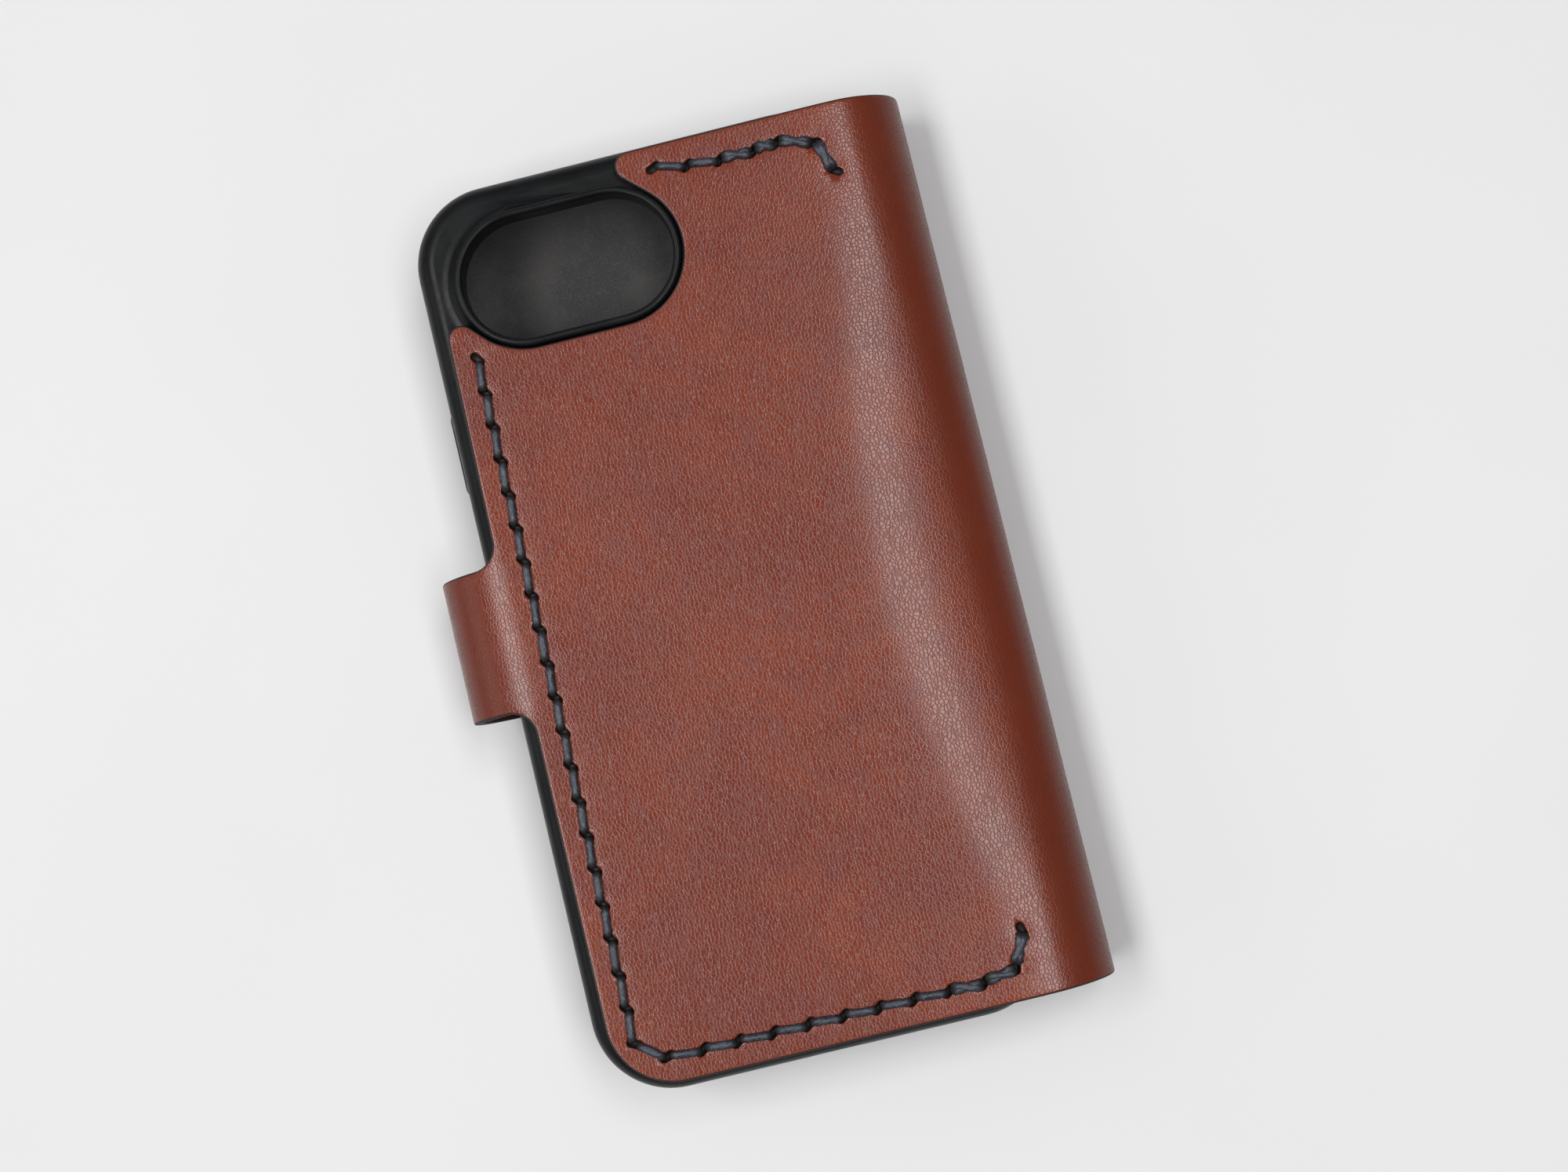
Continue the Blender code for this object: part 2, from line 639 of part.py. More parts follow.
def side_seam():
    """Down the free side of the rear panel, round its corner and along the bottom."""
    x, low = FREE_EDGE + SEAM_INSET, -SHEET_HALF_LENGTH + SEAM_BOTTOM_INSET
    points = [(x, SIDE_SEAM_TOP - SIDE_SEAM_PITCH * i) for i in range(SIDE_SEAM_HOLES)]
    points += arc((x + SEAM_CORNER, low + SEAM_CORNER), SEAM_CORNER, 200, 270, 4)
    points += [(BOTTOM_SEAM_START + BOTTOM_SEAM_PITCH * i, low)
               for i in range(BOTTOM_SEAM_HOLES)]
    points += [(s, low + up) for s, up in BOTTOM_SEAM_END]
    return [(s, y, HALF_LEATHER) for s, y in points]


def top_seam():
    """Along the top of the rear panel, turning down beside the spine."""
    y = SHEET_HALF_LENGTH - SEAM_BOTTOM_INSET
    points = [(TOP_SEAM_START + TOP_SEAM_PITCH * i, y) for i in range(TOP_SEAM_HOLES)]
    points += [(s, y - down) for s, down in TOP_SEAM_END]
    return [(s, y, HALF_LEATHER) for s, y in points]


def cover_seam():
    """Round the three free sides of the cover."""
    low = SPINE.start + SPINE.length + LINING_FROM_SPINE + COVER_SEAM_FROM_LINING
    edge = COVER_EDGE - COVER_SEAM_INSET
    half = SHEET_HALF_LENGTH - COVER_SEAM_INSET
    corner = CORNER - COVER_SEAM_INSET
    points = [(low, half), ((low + edge) / 2, half)]
    points += arc((edge - corner, half - corner), corner, 90, 0, 6)
    points += [(edge, half / 3), (edge, -half / 3)]
    points += arc((edge - corner, -half + corner), corner, 0, -90, 6)
    points += [((low + edge) / 2, -half), (low, -half)]
    return [(s, y, HALF_LEATHER) for s, y in points]


def make_sewing():
    routes = {"rear_stitching_side": side_seam(), "rear_stitching_top": top_seam(),
              "cover_stitching": cover_seam()}
    for name, route in routes.items():
        sunk = [(s, y, out - THREAD_SINK) for s, y, out in route]
        link(name, swept(sunk, THREAD_RADIUS), thread())


# ---------------------------------------------------------------- the press stud

def make_snap():
    """Cap and socket on the tab's end, stud and post on the cover, all on one axis."""
    outer, inner = HALF_LEATHER, -HALF_LEATHER
    cap_low, shank = outer - RECESS + GAP, CAP_SHANK_RADIUS
    cap = [(0, outer + CAP_STANDS), (CAP_FLAT_RADIUS, outer + CAP_STANDS),
           (CAP_SHOULDER_RADIUS, outer + CAP_SHOULDER), (CAP_RADIUS, outer + CAP_EDGE),
           (CAP_RADIUS, cap_low), (shank, cap_low), (shank, inner), (0, inner)]
    turned("snap_cap", cap, TAB_SNAP_S, 0, nickel())
    base, face = inner + GAP, inner + GAP - SOCKET_HEIGHT
    socket = [(SOCKET_HOLE_RADIUS, base), (DISC_RADIUS, base),
              (DISC_RADIUS, face + SOCKET_CHAMFER), (SOCKET_FACE_RADIUS, face),
              (SOCKET_HOLE_RADIUS, face)]
    turned("snap_socket", socket, TAB_SNAP_S, 0, nickel(), closed=True)
    base, face = outer - RECESS + GAP, outer + STUD_STANDS
    stud = [(0, base), (DISC_RADIUS, base), (DISC_RADIUS, face), (KNOB_NECK_RADIUS, face),
            (KNOB_RADIUS, face + KNOB_WIDEST), (KNOB_TIP_RADIUS, face + KNOB_HEIGHT),
            (0, face + KNOB_HEIGHT)]
    turned("snap_stud", stud, SNAP_S, 0, nickel())
    foot, head = outer - RECESS, inner + RECESS - GAP
    post = [(0, foot), (POST_RADIUS, foot), (POST_RADIUS, head), (DISC_RADIUS, head),
            (DISC_RADIUS, head - POST_HEAD), (0, head - POST_HEAD)]
    turned("snap_post", post, SNAP_S, 0, nickel())


clear_scene()
make_shell()
for button_name, (wall_side, button_y, button_length) in BUTTONS.items():
    make_button(button_name, wall_side, button_y, button_length)
make_rear_panel()
make_spine_strips()
make_front_cover()
make_lining()
for pocket_number, pocket_top in enumerate(POCKET_TOPS, 1):
    make_card_pocket(pocket_number, pocket_top)
make_tab_strips()
make_tab_end()
make_sewing()
make_snap()
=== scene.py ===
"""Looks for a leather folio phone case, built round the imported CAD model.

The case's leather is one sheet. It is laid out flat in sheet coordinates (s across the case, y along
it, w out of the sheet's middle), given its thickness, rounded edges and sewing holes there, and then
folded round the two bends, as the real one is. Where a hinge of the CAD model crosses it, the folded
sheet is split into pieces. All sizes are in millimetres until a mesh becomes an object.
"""
import math

import bmesh
import bpy
from mathutils import Matrix, Vector, noise
from mathutils.kdtree import KDTree


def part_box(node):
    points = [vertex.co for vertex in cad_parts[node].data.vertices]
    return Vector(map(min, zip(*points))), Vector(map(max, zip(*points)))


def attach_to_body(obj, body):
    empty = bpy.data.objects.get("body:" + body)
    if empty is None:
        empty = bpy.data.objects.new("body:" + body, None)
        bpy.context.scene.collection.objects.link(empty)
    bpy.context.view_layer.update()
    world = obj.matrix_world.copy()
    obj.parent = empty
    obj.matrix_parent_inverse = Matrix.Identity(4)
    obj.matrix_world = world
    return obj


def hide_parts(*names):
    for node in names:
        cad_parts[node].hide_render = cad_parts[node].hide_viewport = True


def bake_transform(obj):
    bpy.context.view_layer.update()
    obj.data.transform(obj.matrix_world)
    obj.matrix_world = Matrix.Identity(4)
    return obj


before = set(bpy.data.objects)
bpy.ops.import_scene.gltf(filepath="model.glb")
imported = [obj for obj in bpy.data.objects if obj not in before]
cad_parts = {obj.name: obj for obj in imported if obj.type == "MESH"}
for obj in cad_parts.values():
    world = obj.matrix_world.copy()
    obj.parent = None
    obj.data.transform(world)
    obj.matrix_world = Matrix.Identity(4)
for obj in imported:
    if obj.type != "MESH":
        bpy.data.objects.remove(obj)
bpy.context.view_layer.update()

MM = 0.001


def box_mm(node):
    low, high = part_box(node)
    return low / MM, high / MM


SHELL_LOW, SHELL_HIGH = box_mm("shell")
REAR_LOW, REAR_HIGH = box_mm("rear_panel")
COVER_LOW, COVER_HIGH = box_mm("front_cover")
TAB_LOW, TAB_HIGH = box_mm("tab_end")

# -------- driving sizes

LEATHER = 1.8
HALF = LEATHER / 2
GAP = 0.3
REAR_FACE = REAR_HIGH.z
MIDDLE = REAR_FACE - HALF
SHEET_HALF_LENGTH = REAR_HIGH.y
SILHOUETTE = box_mm("spine_strip_2")[1].x
SPINE_START, TAB_START = 34.3, 34.9
FREE_EDGE = -34.9
CORNER = 11.0

SHELL_WIDTH = SHELL_HIGH.x - SHELL_LOW.x
SHELL_LENGTH = SHELL_HIGH.y - SHELL_LOW.y
SHELL_BOTTOM = SHELL_LOW.z
RIM_TOP = SHELL_HIGH.z
SHELL_TOP = REAR_FACE - LEATHER - GAP
WALL, BACK_WALL, FRONT_LIP, LIP_OVERHANG = 1.8, 1.7, 1.0, 1.2
BACK_EDGE_RADIUS, FRONT_EDGE_RADIUS = 3.5, 1.4
SHELL_CORNER = 13.0
CAVITY_TOP = SHELL_TOP - BACK_WALL
CAVITY_BOTTOM = SHELL_BOTTOM + FRONT_LIP
PORT_Z = (CAVITY_TOP + CAVITY_BOTTOM) / 2

WINDOW_X, WINDOW_Y = -12.7, 57.75
WINDOW_HALF_STRAIGHT = 7.4
WINDOW_RADIUS, RIM_RADIUS = 10.05, 11.35
CUT_OUT_TOP_X, CUT_OUT_TOP_RADIUS = -1.6, 2.4
CUT_OUT_SIDE_Y, CUT_OUT_SIDE_RADIUS, CUT_OUT_INSET = 50.2, 2.3, 0.45

TAB_Y = (TAB_LOW.y + TAB_HIGH.y) / 2
TAB_HALF_WIDTH = (TAB_HIGH.y - TAB_LOW.y) / 2
TAB_FILLET, TAB_TIP_RADIUS = 4.0, 9.0
TAB_ROOT = -36.2
SNAP_X = sum(box_mm("snap_cap")[i].x for i in (0, 1)) / 2

SEAM_X = FREE_EDGE + 4.0
SEAM_Y = SHEET_HALF_LENGTH - 4.2
SEAM_PITCH = 5.63
SLIT_HALF, SLIT_RADIUS, SLIT_LEAN = 0.65, 0.62, math.radians(36)
THREAD_RADIUS = 0.66
LINING_INSET, LINING_FROM_SPINE = 2.2, 5.0
POCKET_TOPS = (31.0, 17.0, 3.0)
NOTCH_RADIUS, NOTCH_DEPTH = 9.0, 4.0


class Bend:
    """Half a turn of the sheet on the side of +X (side 1) or -X (side -1), as three arcs."""

    def __init__(self, side, start, drop):
        self.side, self.start = side, start
        reach = SILHOUETTE - HALF - start
        lean = math.sin(math.pi / 4)
        wide = (reach - (1 - lean) * drop / (2 * lean)) / (lean - (1 - lean) ** 2 / lean)
        tight = (drop / 2 - (1 - lean) * wide) / lean
        self.arcs = ((wide, math.pi / 4), (tight, math.pi / 2), (wide, math.pi / 4))
        self.length = sum(radius * turn for radius, turn in self.arcs)

    def reach_at(self, turned):
        """How far along the sheet the bend has turned through an angle."""
        reach = 0.0
        for radius, turn in self.arcs:
            part = min(turned, turn)
            reach += radius * part
            turned -= part
        return reach

    def line_at(self, turned):
        """The sheet's s where the bend has turned through an angle."""
        return self.side * (self.start + self.reach_at(turned))

    def place(self, reach, out):
        """x and z at a reach from the bend's start along the sheet, and out from its middle."""
        x, z, turned = self.start + min(reach, 0.0), MIDDLE, 0.0
        reach = max(reach, 0.0)
        for radius, turn in self.arcs:
            part = min(reach / radius, turn)
            x += radius * (math.sin(turned + part) - math.sin(turned))
            z += radius * (math.cos(turned + part) - math.cos(turned))
            turned += part
            reach -= part * radius
        x += out * math.sin(turned) + reach * math.cos(turned)
        z += out * math.cos(turned) - reach * math.sin(turned)
        return self.side * x, z


COVER_MIDDLE = COVER_LOW.z + HALF
TAB_END_MIDDLE = TAB_LOW.z + HALF
SPINE = Bend(1, SPINE_START, MIDDLE - COVER_MIDDLE)
TAB = Bend(-1, TAB_START, MIDDLE - TAB_END_MIDDLE)
COVER_START = SPINE.start + SPINE.length
COVER_EDGE = COVER_START + SPINE.start - FREE_EDGE
SNAP_S = COVER_START + SPINE.start - SNAP_X
TAB_SNAP_S = -(TAB.start + TAB.length + TAB.start + SNAP_X)
TAB_TIP = TAB_SNAP_S - 10.0


def fold(s, out):
    """Sheet coordinates to x and z. The sheet's s is x on the back of the case."""
    if s >= 0:
        return SPINE.place(s - SPINE.start, out)
    return TAB.place(-s - TAB.start, out)


# -------- shapes of the sheet

def ease(t):
    t = min(max(t, 0.0), 1.0)
    return t * t * (3 - 2 * t)


SWELL_HEIGHT, SWELL_LEAST = 1.1, 0.12
SWELL_REACH, SWELL_LEAST_REACH = 8.0, 4.4
SWELL_SINK = 0.2
SWELL_MIDDLE_Y, SWELL_HALF_LENGTH = -5.0, 72.0
SWELL_FROM, SWELL_FADE = -22.0, 11.0


def swell(s, y):
    """The leather lifts off the shell beside the spine and eases into the bend."""
    from_middle = min(abs(y - SWELL_MIDDLE_Y) / SWELL_HALF_LENGTH, 1.0)
    share = math.cos(math.pi / 2 * from_middle) ** 2
    height = SWELL_LEAST + SWELL_HEIGHT * share
    reach = SWELL_LEAST_REACH + SWELL_REACH * share
    crest, level = SPINE_START - reach, -SWELL_SINK * share
    tilt = 2 * (height - level) / reach
    ease_in = tilt / (1 / SPINE.arcs[0][0] - tilt / reach)
    lowest = level - tilt * ease_in / 2
    joined = SPINE_START + ease_in
    if s < crest:
        return height * ease((s - SWELL_FROM) / (crest - SWELL_FROM))
    if s < SPINE_START:
        return height - tilt / reach * (s - crest) ** 2 / 2
    if s < joined:
        return lowest + tilt / ease_in * (joined - s) ** 2 / 2
    return lowest * (1 - ease((s - joined) / SWELL_FADE))


TAB_EASE_BEFORE, TAB_EASE_AFTER, TAB_EASE_TILT = 2.0, 3.9, 0.12
TAB_EASE_FADE = 8.0


def tab_ease(reach, y):
    """The tab starts to bend a little before its first arc, and turns more slowly there."""
    share = 1 - ease((abs(y - TAB_Y) - TAB_HALF_WIDTH) / TAB_FILLET)
    level = -TAB_EASE_TILT * (TAB_EASE_BEFORE + TAB_EASE_AFTER) / 2
    if reach < -TAB_EASE_BEFORE:
        level = 0.0
    elif reach < 0:
        level = -TAB_EASE_TILT * (reach + TAB_EASE_BEFORE) ** 2 / (2 * TAB_EASE_BEFORE)
    elif reach < TAB_EASE_AFTER:
        level += TAB_EASE_TILT * (TAB_EASE_AFTER - reach) ** 2 / (2 * TAB_EASE_AFTER)
    else:
        level *= 1 - ease((reach - TAB_EASE_AFTER) / TAB_EASE_FADE)
    return level * share


def undulation(s, y):
    """The slow unevenness of a hand-cut sheet, in two sizes of (height, s, y, seed)."""
    return sum(height * noise.noise(Vector((s / s_size, y / y_size, seed)))
               for height, s_size, y_size, seed in ((0.05, 19, 23, 4.2), (0.02, 7, 9, 1.7)))


def sheet_point(s, y, out):
    x, z = fold(s, out + swell(s, y) + tab_ease(-s - TAB.start, y) + undulation(s, y))
    return Vector((x, y, z))


def arc(centre, radius, start_deg, end_deg, steps):
    """Points on an arc, both ends included."""
    angles = [math.radians(start_deg + (end_deg - start_deg) * i / steps)
              for i in range(steps + 1)]
    return [(centre[0] + radius * math.cos(a), centre[1] + radius * math.sin(a)) for a in angles]


def tangent_deg(first, first_radius, second, second_radius, side):
    """The direction in which a line that crosses between two circles touches the first one."""
    dx, dy = second[0] - first[0], second[1] - first[1]
    apart = math.acos((first_radius + second_radius) / math.hypot(dx, dy))
    return math.degrees(math.atan2(dy, dx) + side * apart)


def camera_cut_out():
    """The sheet's edge round the camera rim, from the top edge to the free edge."""
    reach = RIM_RADIUS + GAP
    right = (WINDOW_X + WINDOW_HALF_STRAIGHT, WINDOW_Y)
    left = (WINDOW_X - WINDOW_HALF_STRAIGHT, WINDOW_Y)
    top = (CUT_OUT_TOP_X + CUT_OUT_TOP_RADIUS, SHEET_HALF_LENGTH - CUT_OUT_TOP_RADIUS)
    side = (FREE_EDGE + CUT_OUT_INSET + CUT_OUT_SIDE_RADIUS, CUT_OUT_SIDE_Y)
    top_deg = tangent_deg(top, CUT_OUT_TOP_RADIUS, right, reach, -1) % 360
    side_deg = tangent_deg(side, CUT_OUT_SIDE_RADIUS, left, reach, 1)
    return (arc(top, CUT_OUT_TOP_RADIUS, 90, top_deg, 14)
            + arc(right, reach, top_deg - 180, -90, 28)
            + arc(left, reach, -90, side_deg - 180, 16)
            + arc(side, CUT_OUT_SIDE_RADIUS, side_deg, 180, 12))


def tab_side(side):
    """One side of the tab's root: the flare from the free edge."""
    return [(FREE_EDGE - TAB_FILLET + TAB_FILLET * math.cos(a),
             TAB_Y + side * (TAB_HALF_WIDTH + TAB_FILLET - TAB_FILLET * math.sin(a)))
            for a in (math.pi / 2 * i / 12 for i in range(13))]


def sheet_outline():
    """The whole sheet's edge, anticlockwise, from the cover's lower corner."""
    half = SHEET_HALF_LENGTH
    low, high = TAB_Y - TAB_HALF_WIDTH, TAB_Y + TAB_HALF_WIDTH
    tip = TAB_TIP + TAB_TIP_RADIUS
    points = arc((COVER_EDGE - CORNER, CORNER - half), CORNER, -90, 0, 20)
    points += arc((COVER_EDGE - CORNER, half - CORNER), CORNER, 0, 90, 20)
    points += camera_cut_out()
    points += tab_side(1)
    points += arc((tip, high - TAB_TIP_RADIUS), TAB_TIP_RADIUS, 90, 180, 20)
    points += arc((tip, low + TAB_TIP_RADIUS), TAB_TIP_RADIUS, 180, 270, 20)
    points += list(reversed(tab_side(-1)))
    points += arc((FREE_EDGE + CORNER, CORNER - half), CORNER, 180, 270, 20)
    return points


# -------- the sewing's route

SIDE_HOLES, SIDE_FROM_Y, SIDE_FROM_SEAM, SIDE_DRIFT = 21, 46.4, 0.45, 0.02
CORNER_HOLE = (-26.2, 0.2 - SEAM_Y)
BOTTOM_HOLES, BOTTOM_FROM_X, BOTTOM_PITCH = 9, -20.4, 5.7
HOOK_HOLES = ((30.6, 1.3 - SEAM_Y), (32.8, 6.6 - SEAM_Y))
TOP_HOLES = ((4.6, 3.7), (10.0, 4.7), (15.4, 5.1), (21.0, 5.0), (25.0, 4.6), (30.8, 6.1),
             (33.1, 11.4))    # (s, distance from the sheet's end)
COVER_SEAM_INSET, COVER_SEAM_FROM_LINING = 2.6, 1.5


def side_holes():
    """Down the free side, round the corner and along the bottom, ending beside the spine."""
    holes = [(SEAM_X + SIDE_FROM_SEAM - SIDE_DRIFT * i, SIDE_FROM_Y - SEAM_PITCH * i)
             for i in range(SIDE_HOLES)] + [CORNER_HOLE]
    holes += [(BOTTOM_FROM_X + BOTTOM_PITCH * i, -SEAM_Y) for i in range(BOTTOM_HOLES)]
    return holes + list(HOOK_HOLES)


def along(points, pitch):
    """Points at an even pitch along a line through the given ones."""
    lengths = [math.dist(a, b) for a, b in zip(points, points[1:])]
    count = round(sum(lengths) / pitch)
    made, number, passed = [], 0, 0.0
    for i in range(count + 1):
        target = sum(lengths) * i / count
        while number < len(lengths) - 1 and passed + lengths[number] < target:
            passed += lengths[number]
            number += 1
        share = (target - passed) / lengths[number]
        a, b = points[number], points[number + 1]
        made.append((a[0] + (b[0] - a[0]) * share, a[1] + (b[1] - a[1]) * share))
    return made


def cover_holes():
    """Round the three free sides of the cover."""
    low = COVER_START + LINING_FROM_SPINE + COVER_SEAM_FROM_LINING
    edge = COVER_EDGE - COVER_SEAM_INSET
    half, corner = SHEET_HALF_LENGTH - COVER_SEAM_INSET, CORNER - COVER_SEAM_INSET
    route = [(low, half)] + arc((edge - corner, half - corner), corner, 90, 0, 12)
    route += arc((edge - corner, corner - half), corner, 0, -90, 12) + [(low, -half)]
    return along(route, SEAM_PITCH)


def slit_directions(holes):
    """The unit vector along each sewing slit, which leans from the seam's own direction."""
    directions = []
    for i in range(len(holes)):
        before, after = holes[max(i - 1, 0)], holes[min(i + 1, len(holes) - 1)]
        angle = math.atan2(after[1] - before[1], after[0] - before[0]) + SLIT_LEAN
        directions.append((math.cos(angle), math.sin(angle)))
    return directions


SEAMS = {"side": side_holes(), "top": [(s, SHEET_HALF_LENGTH - y) for s, y in TOP_HOLES],
         "cover": cover_holes()}


# -------- mesh tools

def linked(name, data):
    made = bpy.data.objects.new(name, data)
    bpy.context.scene.collection.objects.link(made)
    return made


def mesh_object(name, shape, scale=1.0):
    bmesh.ops.recalc_face_normals(shape, faces=shape.faces)
    bmesh.ops.transform(shape, matrix=Matrix.Scale(scale, 4), verts=shape.verts)
    mesh = bpy.data.meshes.new(name)
    shape.to_mesh(mesh)
    shape.free()
    return linked(name, mesh)


def finish_mesh(name, shape, surface, attributes=()):
    """A mesh in millimetres becomes a smooth object in metres."""
    made = mesh_object(name, shape, MM)
    mesh = made.data
    mesh.materials.append(surface)
    mesh.shade_smooth()
    for label, kind, values in attributes:
        layer = mesh.attributes.new(label, kind, "POINT")
        field = "vector" if kind == "FLOAT_VECTOR" else "value"
        layer.data.foreach_set(field, values)
    return made


def attach(piece, body, node):
    """A whole piece rides one body and stands for one CAD node."""
    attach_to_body(piece, body)
    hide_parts(node)


def loft_into(shape, levels, closed=False):
    """Adds a solid through rings of equal point count. Each ring is a list of 3-D points."""
    rings = [[shape.verts.new(p) for p in ring] for ring in levels]
    pairs = list(zip(rings, rings[1:])) + ([(rings[-1], rings[0])] if closed else [])
    for low, high in pairs:
        for i in range(len(low)):
            j = (i + 1) % len(low)
            shape.faces.new((low[i], low[j], high[j], high[i]))
    if not closed:
        shape.faces.new(rings[0])
        shape.faces.new(rings[-1])


def cutter_from(name, rings):
    """An object in millimetres that others are cut with."""
    shape = bmesh.new()
    loft_into(shape, rings)
    return mesh_object(name, shape)


def cut(target, cutter, operation="DIFFERENCE"):
    """Takes a cutter from the target's mesh, or joins it on, and removes the cutter."""
    modifier = target.modifiers.new(cutter.name, "BOOLEAN")
    modifier.object = cutter
    modifier.operation = operation
    modifier.solver = "EXACT"
    graph = bpy.context.evaluated_depsgraph_get()
    mesh = bpy.data.meshes.new_from_object(target.evaluated_get(graph))
    target.modifiers.clear()
    target.data = mesh
    bpy.data.objects.remove(cutter)


def slab(outline, low, high, rounding, segments=3):
    """A flat solid with both rims rounded, in (s, y, w)."""
    shape = bmesh.new()
    shape.faces.new([shape.verts.new((s, y, low)) for s, y in outline])
    grown = bmesh.ops.extrude_face_region(shape, geom=shape.faces[:])["geom"]
    top = [item for item in grown if isinstance(item, bmesh.types.BMVert)]
    bmesh.ops.translate(shape, verts=top, vec=(0, 0, high - low))
    rims = [e for e in shape.edges if abs(e.verts[0].co.z - e.verts[1].co.z) < 1e-6]
    bmesh.ops.bevel(shape, geom=rims, offset=rounding, offset_type="OFFSET", segments=segments,
                    profile=0.5, clamp_overlap=False, affect="EDGES")
    return shape


def grid_cut(shape, s_lines, y_lines):
    for axis, lines in ((0, s_lines), (1, y_lines)):
        normal = (1, 0, 0) if axis == 0 else (0, 1, 0)
        for line in lines:
            point = [0.0, 0.0, 0.0]
            point[axis] = line
            bmesh.ops.bisect_plane(shape, geom=shape.verts[:] + shape.edges[:] + shape.faces[:],
                                   dist=1e-4, plane_co=point, plane_no=normal)


def spread(low, high, pitch):
    count = max(1, round((high - low) / pitch))
    return [low + (high - low) * i / count for i in range(1, count)]


def point_tree(places):
    """Points of the flat sheet, so that the distance to the nearest one can be read."""
    tree = KDTree(len(places))
    for i, (s, y) in enumerate(places):
        tree.insert((s, y, 0), i)
    tree.balance()
    return tree


def sampled(outline, pitch):
    """A point tree of a closed outline."""
    places = []
    for a, b in zip(outline, outline[1:] + outline[:1]):
        count = max(1, math.ceil(math.dist(a, b) / pitch))
        places += [(a[0] + (b[0] - a[0]) * i / count, a[1] + (b[1] - a[1]) * i / count)
                   for i in range(count)]
    return point_tree(places)


# -------- materials

class Shading:
    """A material's node tree with short calls for the nodes that these surfaces use."""

    def __init__(self, name, roughness, metallic=0.0, specular=0.5):
        self.material = bpy.data.materials.new(name)
        self.material.use_nodes = True
        self.nodes = self.material.node_tree.nodes
        self.links = self.material.node_tree.links
        self.shader = self.nodes["Principled BSDF"]
        self.shader.inputs["Roughness"].default_value = roughness
        self.shader.inputs["Metallic"].default_value = metallic
        self.shader.inputs["Specular IOR Level"].default_value = specular

    def feed(self, socket, value):
        if isinstance(value, bpy.types.NodeSocket):
            self.links.new(value, socket)
        elif isinstance(value, tuple) and len(value) == 3 and socket.type == "RGBA":
            socket.default_value = (*value, 1)
        else:
            socket.default_value = value

    def node(self, kind, inputs, output, **settings):
        """Adds a node, feeds its inputs and returns one of its outputs."""
        made = self.nodes.new(kind)
        for name, value in settings.items():
            setattr(made, name, value)
        for key, value in inputs.items():
            self.feed(made.inputs[key], value)
        return made.outputs[output]

    def attribute(self, name, output):
        return self.node("ShaderNodeAttribute", {}, output, attribute_name=name,
                         attribute_type="GEOMETRY")

    def place(self):
        """The object's own coordinates in millimetres."""
        coords = self.node("ShaderNodeTexCoord", {}, "Object")
        return self.scaled(coords, (1000, 1000, 1000))

    def scaled(self, vector, scale):
        return self.node("ShaderNodeMapping", {"Vector": vector, "Scale": scale}, "Vector")

    def noise(self, vector, scale, detail=2.0, roughness=0.5):
        return self.node("ShaderNodeTexNoise", {"Vector": vector, "Scale": scale,
                                                "Detail": detail, "Roughness": roughness}, "Fac")

    def math(self, operation, a, b):
        return self.node("ShaderNodeMath", {0: a, 1: b}, 0, operation=operation)

    def ramp(self, value, low, high, start=0.0, end=1.0):
        """A smooth change from start to end while value goes from low to high."""
        return self.node("ShaderNodeMapRange", {"Value": value, "From Min": low, "From Max": high,
                                                "To Min": start, "To Max": end},
                         "Result", interpolation_type="SMOOTHSTEP")

    def mix(self, share, first, second):
        return self.node("ShaderNodeMix", {0: share, 6: first, 7: second}, 2, data_type="RGBA")

    def bump(self, height, distance_mm, strength=1.0):
        return self.node("ShaderNodeBump", {"Height": height, "Distance": distance_mm * MM,
                                            "Strength": strength}, "Normal")

    def set(self, name, value):
        self.feed(self.shader.inputs[name], value)


TAN, LIGHT_TAN = (0.141, 0.0215, 0.0085), (0.184, 0.0285, 0.0075)
LEATHER_PATCH, LEATHER_SPECK = (0.128, 0.022, 0.017), (0.115, 0.022, 0.011)
# The bend tone darkens the sheet where it turns down the spine and the tab: partly rubbed dye,
# partly painted shade on the sides that face away from the lights.
# The furrow tone is painted shade in the creases of the grain.
LEATHER_BEND_WEAR_AND_SHADE, LEATHER_FURROW_SHADE = (0.104, 0.0145, 0.0035), (0.085, 0.014, 0.006)
# The edge paint's colour also darkens the walls of the sewing slits, as painted shade.
EDGE_PAINT_AND_PIT_SHADE = (0.012, 0.007, 0.006)
LINING_DARK, LINING_PALE = (0.028, 0.027, 0.027), (0.045, 0.043, 0.042)
LINING_NAP = (0.07, 0.067, 0.065)
RUBBER_DARK, RUBBER_PALE = (0.0045, 0.0048, 0.0052), (0.0075, 0.0078, 0.0085)
# The pale thread tone is partly the fibres' own lighter colour and partly a painted bluish
# reflection.
# The sunk tone is painted shade on the thread's ends where they go down into the slits.
THREAD_DARK, THREAD_PALE_AND_SHEEN, THREAD_SLIT_SHADE = (0.004, 0.005, 0.008), (0.042, 0.054, 0.08), (0.001,) * 3
NICKEL_DULL, NICKEL_BRIGHT = (0.69, 0.66, 0.61), (0.78, 0.755, 0.71)
FLOOR_DARK, FLOOR_PALE = (0.595, 0.59, 0.59), (0.64, 0.635, 0.635)


